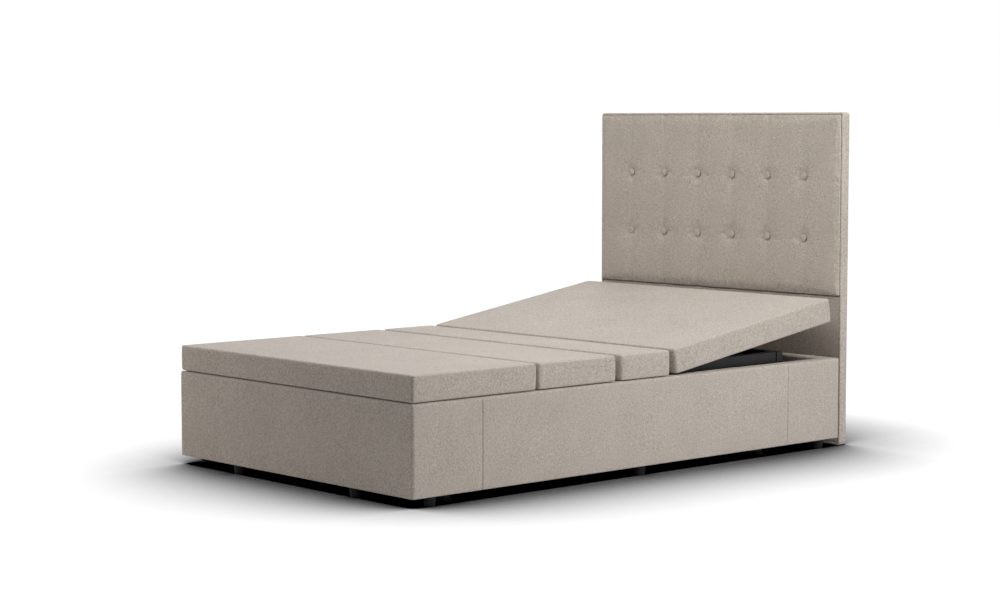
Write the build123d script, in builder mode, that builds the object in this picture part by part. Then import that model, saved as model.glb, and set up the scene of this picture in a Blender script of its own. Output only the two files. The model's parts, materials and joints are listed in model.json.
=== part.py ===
"""Adjustable bed base: upholstered surround and headboard around a four-section lifting deck.

Millimetres, +Z up.  The origin is on the floor under the middle of the bed, +Y runs from the foot
to the headboard and +X to the right-hand side seen from the foot.  The head section is drawn at
its resting tilt; the seat, thigh and calf sections lie flat.
"""
import os
from math import cos, radians, sin, sqrt

from build123d import *

# ---------------------------------------------------------------- driving dimensions
# Surround
BASE_WIDTH = 1270.0
BASE_LENGTH = 2050.0
FLOOR_GAP = 30.0
RAIL_HEIGHT = 297.0
RAIL_THICKNESS = 52.0
RAIL_EDGE_RADIUS = 9.0
RAIL_HEM_RADIUS = 4.0
RAIL_CORNER_RADIUS = 11.0
MITRE_GAP = 0.6
SEAM_FROM_END = 289.0
SEAM_WIDTH = 2.0
SEAM_DEPTH = 1.5
GLIDE_RADIUS = 21.0
GLIDE_INSET = 90.0

# Headboard
HEADBOARD_SIDE_INSET = 6.0
HEADBOARD_WIDTH = BASE_WIDTH - 2 * HEADBOARD_SIDE_INSET
HEADBOARD_HEIGHT = 1230.0
HEADBOARD_DEPTH = 41.0
HEADBOARD_GAP = 11.0
HEADBOARD_CORNER_RADIUS = 8.0
HEADBOARD_EDGE_RADIUS = 5.0
BACK_COVER_THICKNESS = 3.0
BACK_COVER_INSET = 6.0
RIM_WIDTH = 7.0
GROOVE_WIDTH = 2.0
PAD_THICKNESS = 22.0
PAD_PROUD = 10.0
PAD_BOTTOM = 554.0
PAD_EDGE_RADIUS = 7.0
BUTTON_COLUMNS = 6
BUTTON_ROWS = 2
BUTTON_SIDE_MARGIN = 179.0
BUTTON_ROW_PITCH = 232.0
BUTTON_TOP_MARGIN = 235.0
BUTTON_RADIUS = 13.0
BUTTON_HEIGHT = 6.5
TUFT_DEPTH = 8.5
TUFT_FLARE = 13.0
VALLEY_RADIUS = 45.0
VALLEY_DEPTH = 2.2
HEADBOARD_BOLT_X = 400.0
HEADBOARD_BOLT_Z = 180.0
SPACER_RADIUS = 28.0

# Deck
DECK_SIDE_INSET = 2.0
DECK_WIDTH = BASE_WIDTH - 2 * DECK_SIDE_INSET
DECK_BOTTOM = 330.0
DECK_THICKNESS = 87.0
SKIRT_THICKNESS = 45.0
SKIRT_RADIUS = 9.0
SECTION_END_RADIUS = 10.0
BOARD_THICKNESS = 12.0
DECK_PAD_THICKNESS = 16.0
SECTION_GAP = 28.0
KNEE_GAP = 14.0
DECK_FOOT_INSET = 3.0
DECK_HEAD_INSET = 45.0
CALF_LENGTH = 527.0
THIGH_LENGTH = 370.0
SEAT_LENGTH = 260.0
HEAD_LENGTH = BASE_LENGTH - DECK_FOOT_INSET - CALF_LENGTH - THIGH_LENGTH - SEAT_LENGTH - DECK_HEAD_INSET
HEAD_REST_ANGLE = 9.05
HEAD_LIFT = 60.0
LEG_LIFT = 35.0
PIVOT_BELOW_BOARD = 1.0
KNEE_BELOW_PIVOT = 43.0

# Steel base frame
FRAME_TO_SURROUND = 13.0
FRAME_WIDTH = BASE_WIDTH - 2 * RAIL_THICKNESS - 2 * FRAME_TO_SURROUND
FRAME_TOP = 364.0
FRAME_FOOT_INSET = 75.0
FRAME_HEAD_INSET = 250.0
TUBE_WIDTH = 30.0
TUBE_HEIGHT = 70.0
CROSS_TUBE_HEIGHT = 40.0
TUBE_WALL = 2.0
TUBE_RADIUS = 3.0
LEG_INSET = 120.0
FOOT_PAD_RADIUS = 24.0
FOOT_PAD_HEIGHT = 8.0
BEARER_FROM_PIVOT = 45.0
REST_PAD_X = 300.0
REST_PAD_LENGTH = 60.0
REST_CLEARANCE = 0.4

# Section hardware, in layers inwards from the frame rails
PLATE = 6.0
BAR = 5.0
LAYER_GAP = 3.0
LUG_RADIUS = 12.0
BRACKET_RADIUS = 13.0
PIN_RADIUS = 6.0
PIN_HEAD_RADIUS = 9.0
PIN_HEAD = 3.0
RUNNING_CLEARANCE = 0.05
OPEN_PIVOT_CLEARANCE = 0.5
ARM_DEPTH = 24.0
FLANGE_WIDTH = 30.0
FLANGE_THICKNESS = 4.0
SECTION_TUBE_WIDTH = 30.0
SECTION_TUBE_HEIGHT = 20.0
LINK_OFFSET = 300.0
LINK_GROUND_DROP = 43.0
TIE_TUBE_RADIUS = 10.0

# Drives
ACTUATOR_X = 110.0
LEVER_DROP = 84.0
LEVER_THICKNESS = 8.0
LEVER_RIM = 8.0
SLOT_SIDE_CLEARANCE = 1.6
SLOT_END_CLEARANCE = 2.0
HEAD_DRIVE_RATIO = 91.0
LEG_DRIVE_RATIO = 86.5
ACTUATOR_LENGTH = 330.0
GEAR_CASE_LENGTH = 95.0
GEAR_CASE_WIDTH = 60.0
GEAR_CASE_HEIGHT = 62.0
GEAR_CASE_RADIUS = 9.0
OUTER_TUBE_END = 275.0
OUTER_TUBE_RADIUS = 19.0
ROD_RADIUS = 11.0
ROD_TAIL = 130.0
FORK_THROAT = 31.0
FORK_BODY = 15.0
FORK_CHEEK = 6.0
FORK_RADIUS = 11.0
CHEEK_CLEARANCE = 0.8
TONGUE_THICKNESS = 16.0
CLEVIS_RADIUS = 12.0
MOTOR_RADIUS = 25.0
MOTOR_LENGTH = 105.0
CONTROL_BOX_INSET = 220.0
CONTROL_BOX_SIZE = (180.0, 90.0, 45.0)

# ---------------------------------------------------------------- derived places
OVERALL_LENGTH = BASE_LENGTH + HEADBOARD_GAP + HEADBOARD_DEPTH
FOOT_Y = -OVERALL_LENGTH / 2
SURROUND_Y = FOOT_Y + BASE_LENGTH / 2
RAIL_TOP = FLOOR_GAP + RAIL_HEIGHT
RAIL_INNER_X = BASE_WIDTH / 2 - RAIL_THICKNESS
HEADBOARD_FRONT_Y = FOOT_Y + BASE_LENGTH + HEADBOARD_GAP
HEADBOARD_BACK_Y = HEADBOARD_FRONT_Y + HEADBOARD_DEPTH

BOARD_BOTTOM = DECK_BOTTOM + DECK_THICKNESS - DECK_PAD_THICKNESS - BOARD_THICKNESS
PIVOT_Z = BOARD_BOTTOM - PIVOT_BELOW_BOARD
KNEE_Y = FOOT_Y + DECK_FOOT_INSET + CALF_LENGTH
KNEE_Z = PIVOT_Z - KNEE_BELOW_PIVOT
THIGH_PIVOT_Y = KNEE_Y + THIGH_LENGTH
HEAD_PIVOT_Y = THIGH_PIVOT_Y + SEAT_LENGTH
LINK_GROUND_Y = THIGH_PIVOT_Y - LINK_OFFSET
LINK_GROUND_Z = PIVOT_Z - LINK_GROUND_DROP
LINK_CALF_Y = LINK_GROUND_Y - THIGH_LENGTH
LINK_CALF_Z = LINK_GROUND_Z - KNEE_BELOW_PIVOT
SKIRT_OUTER_X = DECK_WIDTH / 2
SKIRT_INNER_X = SKIRT_OUTER_X - SKIRT_THICKNESS

FRAME_OUTER_X = FRAME_WIDTH / 2
FRAME_INNER_X = FRAME_OUTER_X - TUBE_WIDTH
FRAME_BOTTOM = FRAME_TOP - TUBE_HEIGHT
CONTROL_BOX_X = FRAME_INNER_X - CONTROL_BOX_INSET
FRAME_FOOT_Y = FOOT_Y + FRAME_FOOT_INSET
FRAME_HEAD_Y = FOOT_Y + BASE_LENGTH - FRAME_HEAD_INSET
ARM_OUTER_X = FRAME_INNER_X - PLATE - LAYER_GAP
CALF_ARM_OUTER_X = ARM_OUTER_X - BAR - LAYER_GAP
LINK_OUTER_X = CALF_ARM_OUTER_X - BAR - LAYER_GAP

ROD_Z = PIVOT_Z - LEVER_DROP
HALF_HEAD_LIFT = HEAD_LIFT / 2
HALF_LEG_LIFT = LEG_LIFT / 2
HEAD_PIN_FLAT_Y = HEAD_PIVOT_Y - HEAD_DRIVE_RATIO * radians(HALF_HEAD_LIFT)
HEAD_PIN_Y = HEAD_PIN_FLAT_Y + HEAD_DRIVE_RATIO * radians(HEAD_REST_ANGLE)
LEG_PIN_Y = THIGH_PIVOT_Y + LEG_DRIVE_RATIO * radians(HALF_LEG_LIFT)
HEAD_REAR_PIN_Y = HEAD_PIN_FLAT_Y - ACTUATOR_LENGTH
LEG_REAR_PIN_Y = LEG_PIN_Y + ACTUATOR_LENGTH
CLEVIS_REACH = 27.0
FOOTWARD_CROSS_Y = HEAD_REAR_PIN_Y - CLEVIS_REACH - TUBE_WIDTH / 2
HEADWARD_CROSS_Y = LEG_REAR_PIN_Y + CLEVIS_REACH + TUBE_WIDTH / 2

os.makedirs("parts", exist_ok=True)


# ---------------------------------------------------------------- planes and shared shapes
def side_plane(x, y=0.0, z=0.0, tilt=0.0):
    """Side view through (x, y, z): local x runs towards the head, local y up, the normal is +X."""
    return Plane(origin=(x, y, z), x_dir=(0, cos(radians(tilt)), sin(radians(tilt))), z_dir=(1, 0, 0))


def plan_plane(y, z, tilt=0.0, height=0.0):
    """Plan view of a deck section: origin at its pivot, raised by height along its normal."""
    normal = Vector(0, -sin(radians(tilt)), cos(radians(tilt)))
    return Plane(origin=Vector(0, y, z) + normal * height, x_dir=(1, 0, 0), z_dir=normal)


def front_plane(y):
    """Front view at depth y: local x is +X, local y is +Z and the normal faces the foot."""
    return Plane(origin=(0, y, 0), x_dir=(1, 0, 0), z_dir=(0, -1, 0))


MID_X = Plane.YZ
MID_SURROUND = Plane(origin=(0, SURROUND_Y, 0), x_dir=(1, 0, 0), z_dir=(0, 1, 0))


def hollow_section(width, height, wall=TUBE_WALL, radius=TUBE_RADIUS):
    """Rounded box-tube section in the active sketch."""
    RectangleRounded(width, height, radius)
    RectangleRounded(width - 2 * wall, height - 2 * wall, radius - wall / 2, mode=Mode.SUBTRACT)


# ---------------------------------------------------------------- surround
SCREW_RADIUS = 3.0
SCREW_HEAD_RADIUS = 6.0
SCREW_HEAD = 4.0
SCREW_DEPTH = 28.0
SCREW_CLEARANCE = 0.2
CORNER_BRACKET_LEG = 60.0
CORNER_BRACKET_THICKNESS = 4.0
CORNER_BRACKET_INSET = 48.5
CORNER_BRACKET_HEIGHT = RAIL_HEIGHT - 2 * CORNER_BRACKET_INSET
CORNER_BRACKET_Z = FLOOR_GAP + CORNER_BRACKET_INSET
SCREW_FROM_CORNER = 38.0
SCREW_FROM_END = 40.0
SCREW_HEIGHTS = (CORNER_BRACKET_Z + SCREW_FROM_END, CORNER_BRACKET_Z + CORNER_BRACKET_HEIGHT - SCREW_FROM_END)
FOOT_INNER_Y = FOOT_Y + RAIL_THICKNESS
HEAD_INNER_Y = FOOT_Y + BASE_LENGTH - RAIL_THICKNESS
BOLT_RADIUS = 4.0
BOLT_HEAD_RADIUS = 7.5
BOLT_HEAD = 5.5
BOLT_CLEARANCE = 0.25

screw_seats = []
for sign_x in (-1, 1):
    for inner_y, inward in ((FOOT_INNER_Y, 1), (HEAD_INNER_Y, -1)):
        for height in SCREW_HEIGHTS:
            along_y = (sign_x * RAIL_INNER_X, inner_y + inward * SCREW_FROM_CORNER, height)
            along_x = (sign_x * (RAIL_INNER_X - SCREW_FROM_CORNER), inner_y, height)
            screw_seats.append(Plane(origin=along_y, z_dir=(-sign_x, 0, 0)))
            screw_seats.append(Plane(origin=along_x, z_dir=(0, inward, 0)))

bolt_seats = [
    Plane(origin=(sign * HEADBOARD_BOLT_X, HEAD_INNER_Y, HEADBOARD_BOLT_Z), z_dir=(0, -1, 0))
    for sign in (-1, 1)
]

with BuildPart() as surround_ring:
    with BuildSketch(Plane.XY.offset(FLOOR_GAP)):
        with Locations((0, SURROUND_Y)):
            RectangleRounded(BASE_WIDTH, BASE_LENGTH, RAIL_CORNER_RADIUS)
            Rectangle(BASE_WIDTH - 2 * RAIL_THICKNESS, BASE_LENGTH - 2 * RAIL_THICKNESS, mode=Mode.SUBTRACT)
    extrude(amount=RAIL_HEIGHT)
    fillet(surround_ring.edges().group_by(Axis.Z)[-1], RAIL_EDGE_RADIUS)
    fillet(surround_ring.edges().group_by(Axis.Z)[0], RAIL_HEM_RADIUS)
    with BuildSketch(Plane.XY.offset(FLOOR_GAP)):
        with Locations((0, SURROUND_Y)):
            with GridLocations(BASE_WIDTH, BASE_LENGTH - 2 * SEAM_FROM_END, 2, 2):
                Rectangle(2 * SEAM_DEPTH, SEAM_WIDTH)
    extrude(amount=RAIL_HEIGHT, mode=Mode.SUBTRACT)
    with Locations(*screw_seats):
        Hole(SCREW_RADIUS + SCREW_CLEARANCE, SCREW_DEPTH + 1)
    with Locations(*bolt_seats):
        Hole(BOLT_RADIUS + BOLT_CLEARANCE, RAIL_THICKNESS)

REACH = RAIL_THICKNESS * 1.5
MITRE_SHIFT = MITRE_GAP / sqrt(2)
X1 = BASE_WIDTH / 2
Y0 = FOOT_Y
Y1 = FOOT_Y + BASE_LENGTH


def end_wedge(y, inward):
    """Trapezoid that keeps one end rail of the ring, cut back on both mitres by half the gap."""
    outer = X1 + REACH - MITRE_SHIFT
    inner = X1 - REACH - MITRE_SHIFT
    Polygon(
        (-outer, y - inward * REACH), (outer, y - inward * REACH),
        (inner, y + inward * REACH), (-inner, y + inward * REACH), align=None,
    )


def side_wedge(sign):
    """Trapezoid that keeps one side rail of the ring, cut back on both mitres by half the gap."""
    Polygon(
        (sign * (X1 + REACH), Y0 - REACH + MITRE_SHIFT), (sign * (X1 + REACH), Y1 + REACH - MITRE_SHIFT),
        (sign * (X1 - REACH), Y1 - REACH - MITRE_SHIFT), (sign * (X1 - REACH), Y0 + REACH + MITRE_SHIFT),
        align=None,
    )


RAIL_WEDGES = {
    "foot_rail": lambda: end_wedge(Y0, 1),
    "head_rail": lambda: end_wedge(Y1, -1),
    "side_rail_left": lambda: side_wedge(-1),
    "side_rail_right": lambda: side_wedge(1),
}
for rail_name, keep in RAIL_WEDGES.items():
    with BuildPart() as rail:
        add(surround_ring.part)
        with BuildSketch(Plane.XY):
            keep()
        extrude(amount=RAIL_TOP + 1, mode=Mode.INTERSECT)
    rail.part.label = rail_name
    export_step(rail.part, f"parts/{rail_name}.step")

with BuildPart() as glides:
    side_row_x = BASE_WIDTH / 2 - RAIL_THICKNESS / 2
    with Locations((0, SURROUND_Y, 0)):
        with GridLocations(2 * side_row_x, BASE_LENGTH / 2 - GLIDE_INSET, 2, 3):
            Cone(GLIDE_RADIUS - 4, GLIDE_RADIUS, FLOOR_GAP, align=(Align.CENTER, Align.CENTER, Align.MIN))
        with GridLocations(BASE_WIDTH / 2, BASE_LENGTH - RAIL_THICKNESS, 2, 2):
            Cone(GLIDE_RADIUS - 4, GLIDE_RADIUS, FLOOR_GAP, align=(Align.CENTER, Align.CENTER, Align.MIN))
glides.part.label = "glides"
export_step(glides.part, "parts/glides.step")

with BuildPart() as corner_brackets:
    with BuildSketch(Plane.XY.offset(CORNER_BRACKET_Z)):
        with Locations((RAIL_INNER_X, FOOT_INNER_Y)):
            Rectangle(CORNER_BRACKET_LEG, CORNER_BRACKET_THICKNESS, align=(Align.MAX, Align.MIN))
            Rectangle(CORNER_BRACKET_THICKNESS, CORNER_BRACKET_LEG, align=(Align.MAX, Align.MIN))
    extrude(amount=CORNER_BRACKET_HEIGHT)
    mirror(about=MID_X)
    mirror(about=MID_SURROUND)
    with Locations(*[seat.offset(CORNER_BRACKET_THICKNESS) for seat in screw_seats]):
        Hole(SCREW_RADIUS + SCREW_CLEARANCE, CORNER_BRACKET_THICKNESS)
corner_brackets.part.label = "corner_brackets"
export_step(corner_brackets.part, "parts/corner_brackets.step")

with BuildPart() as corner_screws:
    with Locations(*[seat.offset(CORNER_BRACKET_THICKNESS) for seat in screw_seats]):
        Cylinder(SCREW_HEAD_RADIUS, SCREW_HEAD, align=(Align.CENTER, Align.CENTER, Align.MIN))
        Cylinder(
            SCREW_RADIUS, SCREW_DEPTH + CORNER_BRACKET_THICKNESS,
            align=(Align.CENTER, Align.CENTER, Align.MAX),
        )
corner_screws.part.label = "corner_screws"
export_step(corner_screws.part, "parts/corner_screws.step")

# ---------------------------------------------------------------- headboard
POCKET_DEPTH = PAD_THICKNESS - PAD_PROUD
POCKET_HALF_WIDTH = HEADBOARD_WIDTH / 2 - RIM_WIDTH
POCKET_TOP = HEADBOARD_HEIGHT - RIM_WIDTH
PAD_HALF_WIDTH = POCKET_HALF_WIDTH - GROOVE_WIDTH
PAD_TOP = POCKET_TOP - GROOVE_WIDTH
PAD_FRONT_Y = HEADBOARD_FRONT_Y - PAD_PROUD
POCKET_FLOOR_Y = HEADBOARD_FRONT_Y + POCKET_DEPTH
FRAME_BACK_Y = HEADBOARD_BACK_Y - BACK_COVER_THICKNESS
BOLT_END_Y = POCKET_FLOOR_Y + 16.0
BOLT_HOLE = BOLT_RADIUS + BOLT_CLEARANCE

with BuildPart() as headboard_frame:
    with BuildSketch(front_plane(HEADBOARD_FRONT_Y)) as outline:
        Rectangle(HEADBOARD_WIDTH, HEADBOARD_HEIGHT, align=(Align.CENTER, Align.MIN))
        fillet(outline.vertices().group_by(Axis.Z)[-1], HEADBOARD_CORNER_RADIUS)
    extrude(amount=-(FRAME_BACK_Y - HEADBOARD_FRONT_Y))
    front_edges = headboard_frame.edges().group_by(Axis.Y)[0]
    fillet(front_edges.sort_by(Axis.Z)[1:], HEADBOARD_EDGE_RADIUS)
    with BuildSketch(front_plane(HEADBOARD_FRONT_Y)):
        Rectangle(2 * POCKET_HALF_WIDTH, POCKET_TOP, align=(Align.CENTER, Align.MIN))
    extrude(amount=-POCKET_DEPTH, mode=Mode.SUBTRACT)
    with Locations(*[seat.offset(HEAD_INNER_Y - POCKET_FLOOR_Y) for seat in bolt_seats]):
        Hole(BOLT_HOLE, BOLT_END_Y - POCKET_FLOOR_Y + 1)
headboard_frame.part.label = "headboard_frame"
export_step(headboard_frame.part, "parts/headboard_frame.step")

with BuildPart() as headboard_lower_panel:
    with BuildSketch(front_plane(HEADBOARD_FRONT_Y)):
        Rectangle(2 * PAD_HALF_WIDTH, PAD_BOTTOM - GROOVE_WIDTH, align=(Align.CENTER, Align.MIN))
    extrude(amount=-POCKET_DEPTH)
    panel_front = headboard_lower_panel.faces().sort_by(Axis.Y)[0]
    fillet(panel_front.edges().sort_by(Axis.Z)[1:], GROOVE_WIDTH)
    with Locations(*[seat.offset(HEAD_INNER_Y - HEADBOARD_FRONT_Y) for seat in bolt_seats]):
        Hole(BOLT_HOLE, POCKET_DEPTH)
headboard_lower_panel.part.label = "headboard_lower_panel"
export_step(headboard_lower_panel.part, "parts/headboard_lower_panel.step")

BUTTON_PITCH = (HEADBOARD_WIDTH - 2 * BUTTON_SIDE_MARGIN) / (BUTTON_COLUMNS - 1)
BUTTON_MIDDLE_Z = HEADBOARD_HEIGHT - BUTTON_TOP_MARGIN - BUTTON_ROW_PITCH * (BUTTON_ROWS - 1) / 2
button_field = Plane(origin=(0, PAD_FRONT_Y, BUTTON_MIDDLE_Z), x_dir=(1, 0, 0), z_dir=(0, -1, 0))

with BuildPart() as headboard_pad:
    with BuildSketch(front_plane(PAD_FRONT_Y)):
        with Locations((0, PAD_BOTTOM)):
            Rectangle(2 * PAD_HALF_WIDTH, PAD_TOP - PAD_BOTTOM, align=(Align.CENTER, Align.MIN))
    extrude(amount=-PAD_THICKNESS)
    fillet(headboard_pad.faces().sort_by(Axis.Y)[0].edges(), PAD_EDGE_RADIUS)
    valley_axis = button_field.offset(VALLEY_RADIUS - VALLEY_DEPTH)
    with Locations(valley_axis):
        with GridLocations(BUTTON_PITCH, 1, BUTTON_COLUMNS, 1):
            Cylinder(VALLEY_RADIUS, 2 * (PAD_TOP - PAD_BOTTOM), rotation=(90, 0, 0), mode=Mode.SUBTRACT)
    with Locations(button_field.offset(-TUFT_DEPTH)):
        with GridLocations(BUTTON_PITCH, BUTTON_ROW_PITCH, BUTTON_COLUMNS, BUTTON_ROWS):
            Cone(
                BUTTON_RADIUS + 1, BUTTON_RADIUS + 1 + TUFT_FLARE, TUFT_DEPTH + 1,
                align=(Align.CENTER, Align.CENTER, Align.MIN), mode=Mode.SUBTRACT,
            )
headboard_pad.part.label = "headboard_pad"
export_step(headboard_pad.part, "parts/headboard_pad.step")

with BuildPart() as headboard_buttons:
    with Locations(button_field.offset(-TUFT_DEPTH)):
        with GridLocations(BUTTON_PITCH, BUTTON_ROW_PITCH, BUTTON_COLUMNS, BUTTON_ROWS):
            Cylinder(BUTTON_RADIUS, BUTTON_HEIGHT, align=(Align.CENTER, Align.CENTER, Align.MIN))
    fillet(headboard_buttons.edges().group_by(Axis.Y)[0], BUTTON_HEIGHT - 1.5)
headboard_buttons.part.label = "headboard_buttons"
export_step(headboard_buttons.part, "parts/headboard_buttons.step")

with BuildPart() as headboard_back_cover:
    with BuildSketch(front_plane(HEADBOARD_BACK_Y)):
        with Locations((0, BACK_COVER_INSET)):
            Rectangle(
                HEADBOARD_WIDTH - 2 * BACK_COVER_INSET, HEADBOARD_HEIGHT - 2 * BACK_COVER_INSET,
                align=(Align.CENTER, Align.MIN),
            )
    extrude(amount=BACK_COVER_THICKNESS)
headboard_back_cover.part.label = "headboard_back_cover"
export_step(headboard_back_cover.part, "parts/headboard_back_cover.step")

with BuildPart() as headboard_spacers:
    with Locations(*[seat.offset(-RAIL_THICKNESS) for seat in bolt_seats]):
        Cylinder(SPACER_RADIUS, HEADBOARD_GAP, align=(Align.CENTER, Align.CENTER, Align.MAX))
        Hole(BOLT_HOLE, HEADBOARD_GAP)
headboard_spacers.part.label = "headboard_spacers"
export_step(headboard_spacers.part, "parts/headboard_spacers.step")

with BuildPart() as headboard_bolts:
    with Locations(*bolt_seats):
        Cylinder(BOLT_RADIUS, BOLT_END_Y - HEAD_INNER_Y, align=(Align.CENTER, Align.CENTER, Align.MAX))
    for seat in bolt_seats:
        with BuildSketch(seat):
            RegularPolygon(BOLT_HEAD_RADIUS, 6)
        extrude(amount=BOLT_HEAD)
headboard_bolts.part.label = "headboard_bolts"
export_step(headboard_bolts.part, "parts/headboard_bolts.step")

# ---------------------------------------------------------------- steel base frame
TUBE_Z = FRAME_TOP - TUBE_HEIGHT / 2
CROSS_TUBE_Z = FRAME_BOTTOM + CROSS_TUBE_HEIGHT / 2
RAIL_TUBE_X = FRAME_OUTER_X - TUBE_WIDTH / 2
END_TUBE_YS = (FRAME_FOOT_Y + TUBE_WIDTH / 2, FRAME_HEAD_Y - TUBE_WIDTH / 2)
LEG_YS = (FRAME_FOOT_Y + LEG_INSET, FRAME_HEAD_Y - LEG_INSET)
BEARER_YS = (THIGH_PIVOT_Y + BEARER_FROM_PIVOT + TUBE_WIDTH / 2, HEAD_PIVOT_Y - BEARER_FROM_PIVOT - TUBE_WIDTH / 2)

with BuildPart() as frame_side_rails:
    with BuildSketch(front_plane(FRAME_HEAD_Y - TUBE_WIDTH)):
        with GridLocations(2 * RAIL_TUBE_X, 1, 2, 1):
            with Locations((0, TUBE_Z)):
                hollow_section(TUBE_WIDTH, TUBE_HEIGHT)
    extrude(amount=FRAME_HEAD_Y - FRAME_FOOT_Y - 2 * TUBE_WIDTH)
frame_side_rails.part.label = "frame_side_rails"
export_step(frame_side_rails.part, "parts/frame_side_rails.step")

with BuildPart() as frame_cross_tubes:
    with BuildSketch(side_plane(0)):
        for tube_y in END_TUBE_YS:
            with Locations((tube_y, TUBE_Z)):
                hollow_section(TUBE_WIDTH, TUBE_HEIGHT)
    extrude(amount=FRAME_OUTER_X, both=True)
    with BuildSketch(side_plane(0)):
        for tube_y in (FOOTWARD_CROSS_Y, HEADWARD_CROSS_Y):
            with Locations((tube_y, CROSS_TUBE_Z)):
                hollow_section(TUBE_WIDTH, CROSS_TUBE_HEIGHT)
    extrude(amount=FRAME_INNER_X, both=True)
frame_cross_tubes.part.label = "frame_cross_tubes"
export_step(frame_cross_tubes.part, "parts/frame_cross_tubes.step")

CAP_DEPTH = 12.0
CAP_FLANGE = 3.0
CAP_CLEARANCE = 1.0
with BuildPart() as tube_caps:
    for tube_y in END_TUBE_YS:
        end_plane = side_plane(FRAME_OUTER_X, tube_y, TUBE_Z)
        with BuildSketch(end_plane):
            RectangleRounded(TUBE_WIDTH, TUBE_HEIGHT, TUBE_RADIUS)
        extrude(amount=CAP_FLANGE)
        with BuildSketch(end_plane):
            bore = 2 * (TUBE_WALL + CAP_CLEARANCE)
            Rectangle(TUBE_WIDTH - bore, TUBE_HEIGHT - bore)
        extrude(amount=-CAP_DEPTH)
    mirror(about=MID_X)
tube_caps.part.label = "tube_caps"
export_step(tube_caps.part, "parts/tube_caps.step")

with BuildPart() as frame_legs:
    with BuildSketch(Plane.XY.offset(FOOT_PAD_HEIGHT)):
        for leg_y in LEG_YS:
            with Locations((0, leg_y)):
                with GridLocations(2 * RAIL_TUBE_X, 1, 2, 1):
                    hollow_section(TUBE_WIDTH, TUBE_WIDTH)
    extrude(amount=FRAME_BOTTOM - FOOT_PAD_HEIGHT)
frame_legs.part.label = "frame_legs"
export_step(frame_legs.part, "parts/frame_legs.step")

with BuildPart() as foot_pads:
    for leg_y in LEG_YS:
        with Locations((0, leg_y, 0)):
            with GridLocations(2 * RAIL_TUBE_X, 1, 2, 1):
                Cylinder(FOOT_PAD_RADIUS, FOOT_PAD_HEIGHT, align=(Align.CENTER, Align.CENTER, Align.MIN))
    chamfer(foot_pads.edges().group_by(Axis.Z)[-1], 2)
foot_pads.part.label = "foot_pads"
export_step(foot_pads.part, "parts/foot_pads.step")

with BuildPart() as seat_bearers:
    bearer_height = BOARD_BOTTOM - FRAME_TOP
    with BuildSketch(side_plane(0)):
        for bearer_y in BEARER_YS:
            with Locations((bearer_y, FRAME_TOP + bearer_height / 2)):
                hollow_section(TUBE_WIDTH, bearer_height)
    extrude(amount=FRAME_OUTER_X, both=True)
seat_bearers.part.label = "seat_bearers"
export_step(seat_bearers.part, "parts/seat_bearers.step")

with BuildPart() as rest_pads:
    for pad_y in END_TUBE_YS:
        with Locations((0, pad_y, FRAME_TOP)):
            with GridLocations(2 * REST_PAD_X, 1, 2, 1):
                Box(
                    REST_PAD_LENGTH, TUBE_WIDTH, BOARD_BOTTOM - REST_CLEARANCE - FRAME_TOP,
                    align=(Align.CENTER, Align.CENTER, Align.MIN),
                )
    fillet(rest_pads.edges().filter_by(Axis.Z), 4)
rest_pads.part.label = "rest_pads"
export_step(rest_pads.part, "parts/rest_pads.step")

SURROUND_BRACKET_INSET = 240.0
SURROUND_BRACKET_YS = (FRAME_FOOT_Y + SURROUND_BRACKET_INSET, SURROUND_Y, FRAME_HEAD_Y - SURROUND_BRACKET_INSET)
SURROUND_BRACKET_WIDTH = 50.0
SURROUND_BRACKET_DROP = 65.0
SURROUND_BRACKET_THICKNESS = 4.0
with BuildPart() as surround_brackets:
    for bracket_y in SURROUND_BRACKET_YS:
        with BuildSketch(front_plane(bracket_y)):
            with Locations((RAIL_INNER_X, FRAME_BOTTOM)):
                Rectangle(SURROUND_BRACKET_THICKNESS, SURROUND_BRACKET_DROP, align=(Align.MAX, Align.MAX))
                Rectangle(
                    RAIL_INNER_X - FRAME_INNER_X, SURROUND_BRACKET_THICKNESS, align=(Align.MAX, Align.MAX)
                )
        extrude(amount=SURROUND_BRACKET_WIDTH / 2, both=True)
    mirror(about=MID_X)
surround_brackets.part.label = "surround_brackets"
export_step(surround_brackets.part, "parts/surround_brackets.step")

# ---------------------------------------------------------------- pivots on the frame
BRACKET_HALF_WIDTH = 30.0
BRACKET_TOP_INSET = 10.0
BRACKET_SHOULDER = 15.0
BRACKET_PLATE_TOP = FRAME_TOP - BRACKET_TOP_INSET
PIN_HOLE = PIN_RADIUS + RUNNING_CLEARANCE

with BuildPart() as pivot_brackets:
    for pivot_y, pivot_z in (
        (HEAD_PIVOT_Y, PIVOT_Z), (THIGH_PIVOT_Y, PIVOT_Z), (LINK_GROUND_Y, LINK_GROUND_Z),
    ):
        plate_top = min(BRACKET_PLATE_TOP, pivot_z)
        with BuildSketch(side_plane(FRAME_INNER_X - PLATE)):
            with Locations((pivot_y, pivot_z)):
                Circle(BRACKET_RADIUS)
            with Locations((pivot_y, FRAME_BOTTOM)):
                Rectangle(
                    2 * BRACKET_HALF_WIDTH, plate_top - BRACKET_SHOULDER - FRAME_BOTTOM, align=(Align.CENTER, Align.MIN)
                )
            make_hull()
        extrude(amount=PLATE)
        with Locations(side_plane(FRAME_INNER_X, pivot_y, pivot_z)):
            Hole(PIN_HOLE, PLATE)
    mirror(about=MID_X)
pivot_brackets.part.label = "pivot_brackets"
export_step(pivot_brackets.part, "parts/pivot_brackets.step")


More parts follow.
